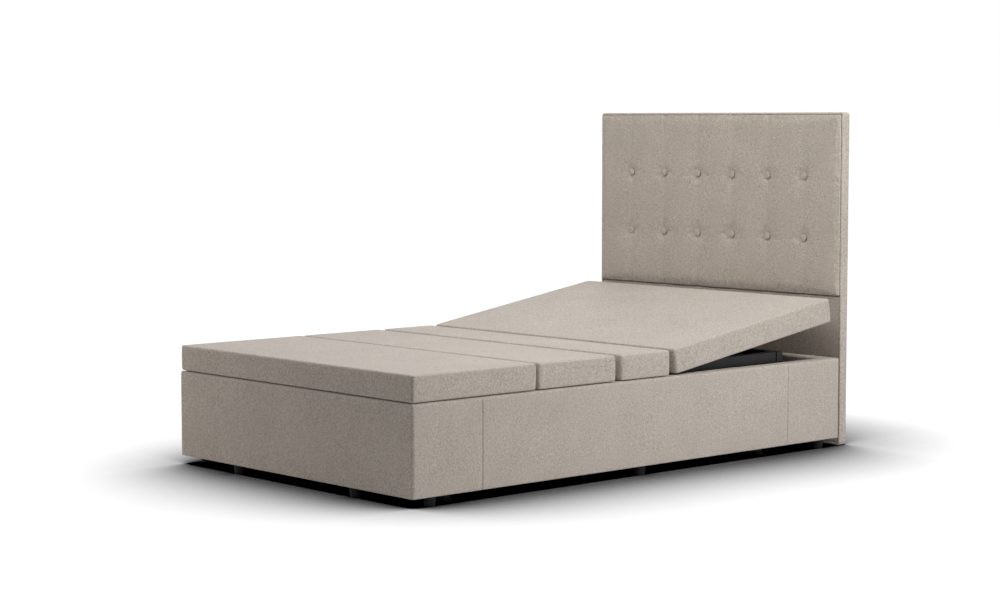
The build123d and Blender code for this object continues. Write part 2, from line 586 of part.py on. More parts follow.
def pivot_pin(head_x, tip_x, y, z):
    """Headed pin along X: its shank runs from head_x to tip_x and its head lies beyond head_x."""
    way = 1 if tip_x > head_x else -1
    with Locations(Plane(origin=(head_x, y, z), x_dir=(0, 1, 0), z_dir=(way, 0, 0))):
        Cylinder(PIN_RADIUS, abs(tip_x - head_x), align=(Align.CENTER, Align.CENTER, Align.MIN))
        Cylinder(PIN_HEAD_RADIUS, PIN_HEAD, align=(Align.CENTER, Align.CENTER, Align.MAX))


HEAD_CLEARANCE = 0.5
EAR = 5.0
EAR_GAP = 0.5
EAR_OUTER = TONGUE_THICKNESS / 2 + EAR_GAP + EAR
PIN_TAIL = 4.0
with BuildPart() as pivot_pins:
    for pivot_y in (HEAD_PIVOT_Y, THIGH_PIVOT_Y):
        pivot_pin(ARM_OUTER_X - BAR - HEAD_CLEARANCE, FRAME_INNER_X, pivot_y, PIVOT_Z)
    pivot_pin(LINK_OUTER_X - BAR - HEAD_CLEARANCE, FRAME_INNER_X, LINK_GROUND_Y, LINK_GROUND_Z)
    mirror(about=MID_X)
    for clevis_x, clevis_y in ((-ACTUATOR_X, HEAD_REAR_PIN_Y), (ACTUATOR_X, LEG_REAR_PIN_Y)):
        pivot_pin(clevis_x - EAR_OUTER, clevis_x + EAR_OUTER + PIN_TAIL, clevis_y, ROD_Z)
pivot_pins.part.label = "pivot_pins"
export_step(pivot_pins.part, "parts/pivot_pins.step")


# ---------------------------------------------------------------- deck sections
class Section:
    """One deck section: its pivot, tilt and the two distances along it where its body starts and ends."""

    def __init__(self, name, y, z, start, end, tilt=0.0):
        self.name = name
        self.y = y
        self.z = z
        self.start = start
        self.end = end
        self.tilt = tilt
        self.underside = BOARD_BOTTOM - z
        self.skirt_bottom = DECK_BOTTOM - z

    def plan(self, height):
        return plan_plane(self.y, self.z, self.tilt, height)

    def side(self, x):
        return side_plane(x, self.y, self.z, self.tilt)


HALF_GAP = SECTION_GAP / 2
head = Section("head", HEAD_PIVOT_Y, PIVOT_Z, HALF_GAP, HEAD_LENGTH, HEAD_REST_ANGLE)
seat = Section("seat", THIGH_PIVOT_Y, PIVOT_Z, HALF_GAP, SEAT_LENGTH - HALF_GAP)
thigh = Section("thigh", THIGH_PIVOT_Y, PIVOT_Z, -(THIGH_LENGTH - KNEE_GAP / 2), -HALF_GAP)
calf = Section("calf", KNEE_Y, KNEE_Z, -CALF_LENGTH, -KNEE_GAP / 2)

BOARD_SPAN = {
    "head": (head.start, head.end - SKIRT_THICKNESS),
    "seat": (seat.start, seat.end),
    "thigh": (thigh.start, thigh.end),
    "calf": (calf.start + SKIRT_THICKNESS, calf.end),
}
END_SKIRT_SPAN = {
    "head": (head.end - SKIRT_THICKNESS, head.end),
    "calf": (calf.start, calf.start + SKIRT_THICKNESS),
}
SWING_ENDS = {
    "head": (0,), "seat": (0, -1), "thigh": (-1,), "calf": (),
}

for section in (head, seat, thigh, calf):
    low, high = BOARD_SPAN[section.name]
    with BuildPart() as board:
        with BuildSketch(section.plan(section.underside)):
            with Locations((0, (low + high) / 2)):
                Rectangle(2 * SKIRT_INNER_X, high - low)
        extrude(amount=BOARD_THICKNESS)
    board_name = f"{section.name}_board"
    board.part.label = board_name
    export_step(board.part, f"parts/{board_name}.step")

    with BuildPart() as pad:
        with BuildSketch(section.plan(section.underside + BOARD_THICKNESS)):
            with Locations((0, (low + high) / 2)):
                Rectangle(2 * SKIRT_INNER_X, high - low)
        extrude(amount=DECK_PAD_THICKNESS)
        long_way = section.plan(0).y_dir
        top_edges = pad.edges().group_by(Axis((0, 0, 0), section.plan(0).z_dir))[-1]
        cross_edges = top_edges.filter_by(Axis.X).sort_by(Axis((0, 0, 0), long_way))
        for end in SWING_ENDS[section.name]:
            fillet(cross_edges[end], SECTION_END_RADIUS)
    pad_name = f"{section.name}_pad"
    pad.part.label = pad_name
    export_step(pad.part, f"parts/{pad_name}.step")

    with BuildPart() as side_skirts:
        with BuildSketch(section.side(SKIRT_INNER_X)):
            with Locations(((section.start + section.end) / 2, section.skirt_bottom + DECK_THICKNESS / 2)):
                RectangleRounded(section.end - section.start, DECK_THICKNESS, SECTION_END_RADIUS)
        extrude(amount=SKIRT_THICKNESS)
        fillet(side_skirts.faces().sort_by(Axis.X)[-1].edges(), SKIRT_RADIUS)
        mirror(about=MID_X)
    skirts_name = f"{section.name}_side_skirts"
    side_skirts.part.label = skirts_name
    export_step(side_skirts.part, f"parts/{skirts_name}.step")

for section in (head, calf):
    low, high = END_SKIRT_SPAN[section.name]
    with BuildPart() as end_skirt:
        with BuildSketch(section.side(0)):
            with Locations(((low + high) / 2, section.skirt_bottom + DECK_THICKNESS / 2)):
                Rectangle(SKIRT_THICKNESS, DECK_THICKNESS)
        extrude(amount=SKIRT_INNER_X, both=True)
        long_edges = end_skirt.edges().filter_by(Axis.X)
        far_first = long_edges.group_by(Axis((0, 0, 0), section.plan(0).y_dir))
        outer = far_first[-1] if section is head else far_first[0]
        fillet(outer, SECTION_END_RADIUS)
    skirt_name = f"{section.name}_end_skirt"
    end_skirt.part.label = skirt_name
    export_step(end_skirt.part, f"parts/{skirt_name}.step")

# ---------------------------------------------------------------- arms under the moving sections
ARM_END_INSET = 120.0
LUG_RUN = 40.0


def arm_flange(section, outer_x, low, high):
    """Profile of an angle-section arm's horizontal leg, flat against the board above it."""
    with BuildSketch(section.side(outer_x - FLANGE_WIDTH)) as flange:
        with Locations(((low + high) / 2, section.underside)):
            Rectangle(high - low, FLANGE_THICKNESS, align=(Align.CENTER, Align.MAX))
    return flange.sketch


HEAD_ARM_END = HEAD_LENGTH - ARM_END_INSET
with BuildPart() as head_arms:
    with BuildSketch(head.side(ARM_OUTER_X - BAR)):
        Circle(LUG_RADIUS)
        with Locations((0, head.underside)):
            Rectangle(HEAD_ARM_END, ARM_DEPTH, align=(Align.MIN, Align.MAX))
    extrude(amount=BAR)
    extrude(arm_flange(head, ARM_OUTER_X, HALF_GAP + 6, HEAD_ARM_END), amount=FLANGE_WIDTH)
    with Locations(head.side(ARM_OUTER_X)):
        Hole(PIN_HOLE, BAR)
    mirror(about=MID_X)
head_arms.part.label = "head_arms"
export_step(head_arms.part, "parts/head_arms.step")

with BuildPart() as thigh_arms:
    with BuildSketch(thigh.side(ARM_OUTER_X - BAR)):
        Circle(LUG_RADIUS)
        with Locations((-(THIGH_LENGTH - LUG_RUN), thigh.underside)):
            Rectangle(THIGH_LENGTH - LUG_RUN, ARM_DEPTH, align=(Align.MIN, Align.MAX))
    extrude(amount=BAR)
    with BuildSketch(thigh.side(ARM_OUTER_X - BAR)):
        with Locations((-THIGH_LENGTH, -KNEE_BELOW_PIVOT)):
            Circle(LUG_RADIUS)
        with Locations((-(THIGH_LENGTH - LUG_RUN), thigh.underside)):
            Rectangle(LUG_RUN / 2, ARM_DEPTH, align=(Align.MIN, Align.MAX))
        make_hull()
    extrude(amount=BAR)
    extrude(arm_flange(thigh, ARM_OUTER_X, -(THIGH_LENGTH - LUG_RUN), -(HALF_GAP + 6)), amount=FLANGE_WIDTH)
    with Locations(thigh.side(ARM_OUTER_X)):
        Hole(PIN_HOLE, BAR)
    with Locations(side_plane(ARM_OUTER_X, KNEE_Y, KNEE_Z)):
        Hole(PIN_HOLE, BAR)
    mirror(about=MID_X)
thigh_arms.part.label = "thigh_arms"
export_step(thigh_arms.part, "parts/thigh_arms.step")

CALF_ARM_START = -(CALF_LENGTH - ARM_END_INSET)
LINK_EYE = (LINK_CALF_Y - KNEE_Y, LINK_CALF_Z - KNEE_Z)
with BuildPart() as calf_arms:
    with BuildSketch(calf.side(CALF_ARM_OUTER_X - BAR)):
        with Locations((CALF_ARM_START, calf.underside)):
            Rectangle(-CALF_ARM_START - LUG_RUN, ARM_DEPTH, align=(Align.MIN, Align.MAX))
    extrude(amount=BAR)
    for eye, run in (((0.0, 0.0), -LUG_RUN), (LINK_EYE, LUG_RUN)):
        with BuildSketch(calf.side(CALF_ARM_OUTER_X - BAR)):
            with Locations(eye):
                Circle(LUG_RADIUS)
            with Locations((eye[0] + run, calf.underside)):
                Rectangle(LUG_RUN / 2, ARM_DEPTH, align=(Align.CENTER, Align.MAX))
            make_hull()
        extrude(amount=BAR)
    extrude(arm_flange(calf, CALF_ARM_OUTER_X, CALF_ARM_START, -LUG_RUN), amount=FLANGE_WIDTH)
    for eye in ((0.0, 0.0), LINK_EYE):
        with Locations(side_plane(CALF_ARM_OUTER_X, KNEE_Y + eye[0], KNEE_Z + eye[1])):
            Hole(PIN_HOLE, BAR)
    mirror(about=MID_X)
calf_arms.part.label = "calf_arms"
export_step(calf_arms.part, "parts/calf_arms.step")

with BuildPart() as knee_pins:
    pivot_pin(ARM_OUTER_X, CALF_ARM_OUTER_X - BAR - HEAD_CLEARANCE, KNEE_Y, KNEE_Z)
    mirror(about=MID_X)
knee_pins.part.label = "knee_pins"
export_step(knee_pins.part, "parts/knee_pins.step")

with BuildPart() as link_pins:
    pivot_pin(LINK_OUTER_X - BAR - HEAD_CLEARANCE, CALF_ARM_OUTER_X, LINK_CALF_Y, LINK_CALF_Z)
    mirror(about=MID_X)
link_pins.part.label = "link_pins"
export_step(link_pins.part, "parts/link_pins.step")

with BuildPart() as calf_links:
    with BuildSketch(side_plane(LINK_OUTER_X - BAR)):
        for eye_y, eye_z in ((LINK_GROUND_Y, LINK_GROUND_Z), (LINK_CALF_Y, LINK_CALF_Z)):
            with Locations((eye_y, eye_z)):
                Circle(LUG_RADIUS)
        make_hull()
    extrude(amount=BAR)
    with Locations(side_plane(LINK_OUTER_X, LINK_GROUND_Y, LINK_GROUND_Z)):
        Hole(PIN_HOLE, BAR)
    with Locations(side_plane(LINK_OUTER_X, LINK_CALF_Y, LINK_CALF_Z)):
        Hole(PIN_RADIUS + OPEN_PIVOT_CLEARANCE, BAR)
    mirror(about=MID_X)
calf_links.part.label = "calf_links"
export_step(calf_links.part, "parts/calf_links.step")

with BuildPart() as link_tie_tube:
    with BuildSketch(side_plane(0)):
        with Locations(((LINK_GROUND_Y + LINK_CALF_Y) / 2, (LINK_GROUND_Z + LINK_CALF_Z) / 2)):
            Circle(TIE_TUBE_RADIUS)
            Circle(TIE_TUBE_RADIUS - TUBE_WALL, mode=Mode.SUBTRACT)
    extrude(amount=LINK_OUTER_X - BAR, both=True)
link_tie_tube.part.label = "link_tie_tube"
export_step(link_tie_tube.part, "parts/link_tie_tube.step")

LEVER_TUBE_FROM_PIVOT = 52.0
FAR_TUBE_FROM_PIVOT = 560.0
CALF_TUBE_FROM_KNEE = 230.0
SECTION_TUBES = {
    "head": (head, ARM_OUTER_X, (LEVER_TUBE_FROM_PIVOT, FAR_TUBE_FROM_PIVOT)),
    "thigh": (thigh, ARM_OUTER_X, (-LEVER_TUBE_FROM_PIVOT,)),
    "calf": (calf, CALF_ARM_OUTER_X, (-CALF_TUBE_FROM_KNEE,)),
}
for name, (section, outer_x, places) in SECTION_TUBES.items():
    with BuildPart() as cross_tubes:
        with BuildSketch(section.side(0)):
            for place in places:
                with Locations((place, section.underside - FLANGE_THICKNESS - SECTION_TUBE_HEIGHT / 2)):
                    hollow_section(SECTION_TUBE_WIDTH, SECTION_TUBE_HEIGHT)
        extrude(amount=outer_x - BAR, both=True)
    tube_name = f"{name}_cross_tubes"
    cross_tubes.part.label = tube_name
    export_step(cross_tubes.part, f"parts/{tube_name}.step")

# ---------------------------------------------------------------- levers
SLOT_HALF_WIDTH = PIN_RADIUS + SLOT_SIDE_CLEARANCE
LEVER_TIP_RADIUS = SLOT_HALF_WIDTH + LEVER_RIM
LEVER_ROOT = 24.0
LEVER_ROOT_DEPTH = 14.0
TUBE_UNDERSIDE = FLANGE_THICKNESS + SECTION_TUBE_HEIGHT - PIVOT_BELOW_BOARD


def lever_profile(section, x, root_at, flat_angle):
    """Lever with a radial slot; flat_angle is the slot's lean from straight down with the deck flat."""
    lean = Vector(sin(radians(flat_angle)), -cos(radians(flat_angle)))
    near = LEVER_DROP - SLOT_END_CLEARANCE
    far = LEVER_DROP / cos(radians(flat_angle)) + SLOT_END_CLEARANCE
    slot_middle = lean * ((near + far) / 2)
    with BuildSketch(section.side(x - LEVER_THICKNESS / 2)) as lever:
        for reach in (near, far):
            with Locations((lean.X * reach, lean.Y * reach)):
                Circle(LEVER_TIP_RADIUS)
        with Locations((root_at, -TUBE_UNDERSIDE)):
            Rectangle(2 * LEVER_ROOT, LEVER_ROOT_DEPTH, align=(Align.CENTER, Align.MAX))
        make_hull()
        with Locations((slot_middle.X, slot_middle.Y)):
            SlotCenterToCenter(far - near, 2 * SLOT_HALF_WIDTH, rotation=flat_angle - 90, mode=Mode.SUBTRACT)
    return lever.sketch


with BuildPart() as head_lever:
    extrude(
        lever_profile(head, -ACTUATOR_X, LEVER_TUBE_FROM_PIVOT, -HALF_HEAD_LIFT), amount=LEVER_THICKNESS
    )
head_lever.part.label = "head_lever"
export_step(head_lever.part, "parts/head_lever.step")

with BuildPart() as leg_lever:
    extrude(
        lever_profile(thigh, ACTUATOR_X, -LEVER_TUBE_FROM_PIVOT, HALF_LEG_LIFT), amount=LEVER_THICKNESS
    )
leg_lever.part.label = "leg_lever"
export_step(leg_lever.part, "parts/leg_lever.step")

# ---------------------------------------------------------------- actuators
GEAR_CASE_START = 15.0
BORE_START = 120.0
FORK_HALF_WIDTH = LEVER_THICKNESS / 2 + CHEEK_CLEARANCE + FORK_CHEEK
DRIVES = {
    "head": (-ACTUATOR_X, HEAD_REAR_PIN_Y, HEAD_PIN_Y, 1),
    "leg": (ACTUATOR_X, LEG_REAR_PIN_Y, LEG_PIN_Y, -1),
}


def axis_plane(x, y, direction):
    """Plane across an actuator's axis at y, its normal pointing along the rod's outward travel."""
    return Plane(origin=(x, y, ROD_Z), x_dir=(1, 0, 0), z_dir=(0, direction, 0))


for name, (x, rear_y, pin_y, direction) in DRIVES.items():
    with BuildPart() as actuator:
        with BuildSketch(side_plane(x - TONGUE_THICKNESS / 2)):
            with Locations((rear_y, ROD_Z)):
                Circle(CLEVIS_RADIUS)
            with Locations((rear_y + direction * GEAR_CASE_START, ROD_Z)):
                Rectangle(2, 2 * CLEVIS_RADIUS)
            make_hull()
        extrude(amount=TONGUE_THICKNESS)
        with BuildSketch(axis_plane(x, rear_y + direction * GEAR_CASE_START, direction)):
            RectangleRounded(GEAR_CASE_WIDTH, GEAR_CASE_HEIGHT, GEAR_CASE_RADIUS)
        extrude(amount=GEAR_CASE_LENGTH)
        with BuildSketch(axis_plane(x, rear_y + direction * (GEAR_CASE_START + GEAR_CASE_LENGTH), direction)):
            Circle(OUTER_TUBE_RADIUS)
        extrude(amount=OUTER_TUBE_END - GEAR_CASE_START - GEAR_CASE_LENGTH)
        with BuildSketch(axis_plane(x, rear_y + direction * (OUTER_TUBE_END - 18), direction)):
            Circle(OUTER_TUBE_RADIUS + 3)
        extrude(amount=18)
        with BuildSketch(axis_plane(x, rear_y + direction * BORE_START, direction)):
            Circle(ROD_RADIUS + RUNNING_CLEARANCE)
        extrude(amount=OUTER_TUBE_END - BORE_START, mode=Mode.SUBTRACT)
        with Locations(side_plane(x + TONGUE_THICKNESS / 2, rear_y, ROD_Z)):
            Hole(PIN_HOLE, TONGUE_THICKNESS)
    actuator_name = f"{name}_actuator"
    actuator.part.label = actuator_name
    export_step(actuator.part, f"parts/{actuator_name}.step")

    with BuildPart() as rod:
        tail_y = pin_y - direction * (ACTUATOR_LENGTH - ROD_TAIL)
        with BuildSketch(axis_plane(x, tail_y, direction)):
            Circle(ROD_RADIUS)
        extrude(amount=ACTUATOR_LENGTH - ROD_TAIL - FORK_THROAT - FORK_BODY / 2)
        with BuildSketch(side_plane(x - FORK_HALF_WIDTH)):
            with Locations((pin_y, ROD_Z)):
                Circle(FORK_RADIUS)
            with Locations((pin_y - direction * (FORK_THROAT + FORK_BODY / 2), ROD_Z)):
                Rectangle(FORK_BODY, 2 * FORK_RADIUS)
            make_hull()
        extrude(amount=2 * FORK_HALF_WIDTH)
        throat_low = pin_y - direction * FORK_THROAT
        throat_high = pin_y + direction * (FORK_RADIUS + 1)
        with BuildSketch(side_plane(x - FORK_HALF_WIDTH + FORK_CHEEK)):
            with Locations(((throat_low + throat_high) / 2, ROD_Z)):
                Rectangle(abs(throat_high - throat_low), 2 * FORK_RADIUS + 2)
        extrude(amount=2 * (FORK_HALF_WIDTH - FORK_CHEEK), mode=Mode.SUBTRACT)
        with Locations(side_plane(x + FORK_HALF_WIDTH, pin_y, ROD_Z)):
            Hole(PIN_HOLE, 2 * FORK_HALF_WIDTH)
    rod_name = f"{name}_rod"
    rod.part.label = rod_name
    export_step(rod.part, f"parts/{rod_name}.step")

    with BuildPart() as rod_pin:
        pivot_pin(x - FORK_HALF_WIDTH, x + FORK_HALF_WIDTH + PIN_TAIL, pin_y, ROD_Z)
    pin_name = f"{name}_rod_pin"
    rod_pin.part.label = pin_name
    export_step(rod_pin.part, f"parts/{pin_name}.step")

with BuildPart() as actuator_brackets:
    for x, rear_y, pin_y, direction in DRIVES.values():
        tube_face = rear_y - direction * CLEVIS_REACH
        for ear_x in (x - EAR_OUTER, x + EAR_OUTER - EAR):
            with BuildSketch(side_plane(ear_x)):
                with Locations((rear_y, ROD_Z)):
                    Circle(CLEVIS_RADIUS)
                with Locations((tube_face + direction * 2, CROSS_TUBE_Z)):
                    Rectangle(4, CROSS_TUBE_HEIGHT - 4)
                make_hull()
            extrude(amount=EAR)
        with Locations(side_plane(x + EAR_OUTER, rear_y, ROD_Z)):
            Hole(PIN_HOLE, 2 * EAR_OUTER)
actuator_brackets.part.label = "actuator_brackets"
export_step(actuator_brackets.part, "parts/actuator_brackets.step")

with BuildPart() as actuator_motors:
    for x, rear_y, pin_y, direction in DRIVES.values():
        motor_y = rear_y + direction * (GEAR_CASE_START + GEAR_CASE_LENGTH / 2)
        with Locations((x, motor_y, ROD_Z - GEAR_CASE_HEIGHT / 2)):
            Cylinder(MOTOR_RADIUS, MOTOR_LENGTH, align=(Align.CENTER, Align.CENTER, Align.MAX))
    fillet(actuator_motors.edges().group_by(Axis.Z)[0], 8)
actuator_motors.part.label = "actuator_motors"
export_step(actuator_motors.part, "parts/actuator_motors.step")

# ---------------------------------------------------------------- control box
SOCKET_COUNT = 5
SOCKET_PITCH = 28.0
SOCKET_RADIUS = 9.0
SOCKET_PROUD = 3.0
with BuildPart() as control_box:
    box_x, box_y, box_z = CONTROL_BOX_SIZE
    with Locations((CONTROL_BOX_X, FOOTWARD_CROSS_Y, FRAME_BOTTOM)):
        Box(box_x, box_y, box_z, align=(Align.CENTER, Align.CENTER, Align.MAX))
    fillet(control_box.edges().filter_by(Axis.Z), 8)
    fillet(control_box.edges().group_by(Axis.Z)[0], 4)
    socket_plane = Plane(
        origin=(CONTROL_BOX_X, FOOTWARD_CROSS_Y + box_y / 2, FRAME_BOTTOM - box_z / 2),
        x_dir=(-1, 0, 0), z_dir=(0, 1, 0),
    )
    with BuildSketch(socket_plane):
        with GridLocations(SOCKET_PITCH, 1, SOCKET_COUNT, 1):
            Circle(SOCKET_RADIUS)
            Circle(SOCKET_RADIUS - 3, mode=Mode.SUBTRACT)
    extrude(amount=SOCKET_PROUD)
control_box.part.label = "control_box"
export_step(control_box.part, "parts/control_box.step")
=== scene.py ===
# %% [markdown]
# # An adjustable bed base, dressed
# The bed base is a box of upholstered boards round a black steel frame, a deck in four sections
# that two electric drives lift, and a button-tufted headboard. The rigid frame arrives finished
# from CAD. This lesson adds what the upholsterer, the painter and the plater add: padded fabric
# surfaces, stitching, wood, paint and plate. Lengths are in metres, unless a name ends in mm.

# %% Load the fixed frame
import json
import math

import bpy
import numpy as np
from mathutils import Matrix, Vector


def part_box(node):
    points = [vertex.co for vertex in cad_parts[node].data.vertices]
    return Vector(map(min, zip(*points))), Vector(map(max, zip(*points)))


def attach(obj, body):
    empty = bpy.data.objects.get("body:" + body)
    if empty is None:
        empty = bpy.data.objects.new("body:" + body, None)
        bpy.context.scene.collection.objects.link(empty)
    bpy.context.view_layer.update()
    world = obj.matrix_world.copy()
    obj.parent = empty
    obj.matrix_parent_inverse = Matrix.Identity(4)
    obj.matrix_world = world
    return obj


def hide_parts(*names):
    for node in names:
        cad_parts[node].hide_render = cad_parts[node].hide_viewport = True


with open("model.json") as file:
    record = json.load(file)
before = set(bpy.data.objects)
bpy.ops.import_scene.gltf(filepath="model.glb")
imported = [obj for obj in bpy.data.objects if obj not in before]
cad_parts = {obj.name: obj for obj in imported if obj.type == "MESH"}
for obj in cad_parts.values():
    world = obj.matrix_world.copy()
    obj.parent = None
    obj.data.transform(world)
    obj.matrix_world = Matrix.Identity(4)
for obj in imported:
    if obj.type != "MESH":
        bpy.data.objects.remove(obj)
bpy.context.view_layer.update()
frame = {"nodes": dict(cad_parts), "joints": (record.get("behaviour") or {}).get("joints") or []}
joints = {joint["name"]: joint for joint in frame["joints"]}

MM = 0.001

# %% [markdown]
# ## The camera
# The bed is seen from beyond its right-hand foot corner, a little above the deck. A long lens from
# eight metres keeps the verticals nearly parallel. Pitching the camera down, where one might shift
# the lens, keeps every other view of the same camera well framed.

# %% Camera
CAMERA_AZIMUTH = 47.97
CAMERA_PITCH = 4.57
CAMERA_PLACE = (5.892, -5.427, 1.197)
CAMERA_LENS = 80.5

camera_data = bpy.data.cameras.new("bed_camera")
camera_data.lens = CAMERA_LENS
camera_data.sensor_width = 36.0
camera_data.clip_end = 200.0
camera = bpy.data.objects.new("bed_camera", camera_data)
camera.location = CAMERA_PLACE
camera.rotation_euler = (math.radians(90.0 - CAMERA_PITCH), 0.0, math.radians(CAMERA_AZIMUTH))
bpy.context.scene.collection.objects.link(camera)
bpy.context.scene.camera = camera
bpy.context.scene.view_settings.view_transform = "Standard"

# %% [markdown]
# ## Colours and a way to wire nodes
# A hex colour is what a screen shows, and a shader wants linear light, so one function turns the
# first into the second. Each of the others adds one kind of node and hands back its output. What
# goes into a socket is either a plain value or an output of an earlier node.

# %% Colour and node helpers
NOISE_LOW, NOISE_HIGH = 0.3, 0.7


def linear(hex_colour):
    """sRGB hex to linear RGBA: c / 12.92 up to 0.04045, else ((c + 0.055) / 1.055) ^ 2.4."""
    srgb = np.array([int(hex_colour[i:i + 2], 16) / 255.0 for i in (1, 3, 5)])
    low = srgb / 12.92
    high = ((srgb + 0.055) / 1.055) ** 2.4
    return (*np.where(srgb <= 0.04045, low, high).tolist(), 1.0)


def add_node(tree, kind, inputs=None, **settings):
    """Adds a shader node, sets its properties, and links or sets each of its inputs."""
    node = tree.nodes.new("ShaderNode" + kind)
    for name, value in settings.items():
        setattr(node, name, value)
    for name, source in (inputs or {}).items():
        if isinstance(source, bpy.types.NodeSocket):
            tree.links.new(source, node.inputs[name])
        else:
            node.inputs[name].default_value = source
    return node


def arithmetic(tree, operation, *terms):
    """One step of arithmetic on its terms, in their order."""
    return add_node(tree, "Math", dict(enumerate(terms)), operation=operation).outputs[0]


def scaled(tree, vector, factor):
    """A colour or vector times a factor."""
    inputs = {0: vector, "Scale": factor}
    return add_node(tree, "VectorMath", inputs, operation="SCALE").outputs["Vector"]


def mixed(tree, share, first, second):
    """Two numbers mixed, with the given share of the second."""
    return add_node(tree, "Mix", {"Factor": share, "A": first, "B": second}).outputs["Result"]


def component(tree, vector, axis):
    """One component of a vector, for the axis named X, Y or Z."""
    return add_node(tree, "SeparateXYZ", {"Vector": vector}).outputs[axis]


def remapped(tree, value, low, high, start=0.0, end=1.0):
    """A value carried from the range low to high onto the range start to end."""
    inputs = {"Value": value, "From Min": low, "From Max": high, "To Min": start, "To Max": end}
    return add_node(tree, "MapRange", inputs).outputs["Result"]


def object_place(tree):
    """The shaded point in its object's own axes, in metres."""
    return add_node(tree, "TexCoord").outputs["Object"]


def cycles_per(length_mm):
    """Texture scale whose pattern repeats about once in length_mm, for coordinates in metres."""
    return 1000.0 / length_mm


def noise(tree, place, length_mm, detail, roughness=0.5):
    """Noise that varies over length_mm and mostly stays between NOISE_LOW and NOISE_HIGH."""
    inputs = {"Vector": place, "Scale": cycles_per(length_mm), "Detail": detail}
    inputs["Roughness"] = roughness
    return add_node(tree, "TexNoise", inputs).outputs["Fac"]


def sine_wave(tree, distance, length_mm):
    """sin(2 pi distance / length)."""
    turns = arithmetic(tree, "MULTIPLY", distance, 2 * math.pi * cycles_per(length_mm))
    return arithmetic(tree, "SINE", turns)


def colour_ramp(tree, factor, *stops):
    """Colour along a ramp. Each stop is (factor, hex colour), and they rise."""
    node = add_node(tree, "ValToRGB", {"Fac": factor})
    elements = node.color_ramp.elements
    for element, (where, colour) in zip(elements, (stops[0], stops[-1])):
        element.position, element.color = where, linear(colour)
    for where, colour in stops[1:-1]:
        elements.new(where).color = linear(colour)
    return node.outputs["Color"]


def bumped(tree, height, strength, depth):
    """Normal that a bump map of this height and depth gives."""
    inputs = {"Strength": strength, "Distance": depth, "Height": height}
    return add_node(tree, "Bump", inputs).outputs["Normal"]


def new_material(name):
    """An empty node material and its tree."""
    material = bpy.data.materials.new(name)
    material.use_nodes = True
    material.node_tree.nodes.clear()
    return material, material.node_tree


def close_material(tree, colour, roughness, normal, **values):
    """Principled shader and output at the end of a tree. values are sockets, with _ for a space."""
    inputs = {"Base Color": colour, "Roughness": roughness, "Normal": normal}
    inputs.update({name.replace("_", " "): value for name, value in values.items()})
    shader = add_node(tree, "BsdfPrincipled", inputs).outputs["BSDF"]
    add_node(tree, "OutputMaterial", {"Surface": shader})


# %% [markdown]
# ## The fabric
# The cover is a heathered chenille-like plain weave: pale and darker taupe yarns twisted together,
# so the cloth is mottled at the scale of a few threads and nearly even from across a room. The real
# threads are under a millimetre, too fine to show at this distance, so the mottle is drawn at about
# three millimetres. Brushed fibres catch light at grazing angles, which is what sheen does.

# %% Upholstery fabric
YARN_COLOURS = ((0.36, "#94897E"), (0.5, "#BDB3A9"), (0.66, "#DAD1C7"))
THREAD_MM = 2.6
MOTTLE_MM = 2.8
SLUB_MM = 7.0
SLUB_SHARE = 0.15
CLOUD_MM = 160.0
CLOUD_CONTRAST = 0.035
WEAVE_RELIEF = 0.16
WEAVE_DEPTH = 0.9 * MM


def woven_fabric(name, tilt_degrees=0.0):
    """Heathered plain weave. The tilt turns the threads about X, to follow a tilted panel."""
    material, tree = new_material(name)
    rotation = (math.radians(-tilt_degrees), 0.0, 0.0)
    inputs = {"Vector": object_place(tree), "Rotation": rotation}
    place = add_node(tree, "Mapping", inputs).outputs["Vector"]
    mottle = noise(tree, place, MOTTLE_MM, 3.0, 0.62)
    slub = noise(tree, place, SLUB_MM, 1.0)
    cloud = noise(tree, place, CLOUD_MM, 2.0)
    yarn = mixed(tree, SLUB_SHARE, mottle, slub)
    shade = remapped(tree, cloud, NOISE_LOW, NOISE_HIGH, 1 - CLOUD_CONTRAST, 1 + CLOUD_CONTRAST)
    colour = scaled(tree, colour_ramp(tree, yarn, *YARN_COLOURS), shade)
    waves = [sine_wave(tree, component(tree, place, axis), THREAD_MM) for axis in "XYZ"]
    lattice = arithmetic(tree, "ADD", arithmetic(tree, "ADD", waves[0], waves[1]), waves[2])
    height = arithmetic(tree, "MULTIPLY_ADD", lattice, WEAVE_RELIEF, yarn)
    close_material(
        tree, colour, 0.93, bumped(tree, height, 0.55, WEAVE_DEPTH),
        Sheen_Weight=0.22, Sheen_Roughness=0.55, Specular_IOR_Level=0.25,
    )
    return material


REST_TILT = -joints["head_lift"]["range_deg"][0]
fabric = woven_fabric("heather_weave")
fabric_tilted = woven_fabric("heather_weave_head", REST_TILT)
print("head section rests at", REST_TILT, "degrees")

# %% [markdown]
# ## Surfaces from arrays
# Each padded piece is a slab with rounded edges and a soft, slightly crowned face. The face is a
# grid whose corners are squeezed onto a round plan, and rings carry its border down over the edge,
# along the side and into the hollow below. Everything is worked out as whole arrays.

# %% Mesh helpers
CORNER_STEPS = 5


def new_piece(name, points, faces, material):
    """Smooth mesh object from an (n, 3) array and lists of faces. The sign of its volume, the sum of
    a . (b x c) / 6 over its triangles, says whether its faces have to be turned outwards."""
    fans = np.array([(f[0], f[i], f[i + 1]) for f in faces for i in range(1, len(f) - 1)])
    a, b, c = (points[fans[:, i]] for i in range(3))
    if np.einsum("ij,ij->", a, np.cross(b, c)) < 0:
        faces = [tuple(reversed(f)) for f in faces]
    mesh = bpy.data.meshes.new(name)
    mesh.from_pydata(points.tolist(), [], [tuple(int(i) for i in f) for f in faces])
    mesh.polygons.foreach_set("use_smooth", [True] * len(mesh.polygons))
    mesh.materials.append(material)
    mesh.update()
    piece = bpy.data.objects.new(name, mesh)
    bpy.context.scene.collection.objects.link(piece)
    return piece


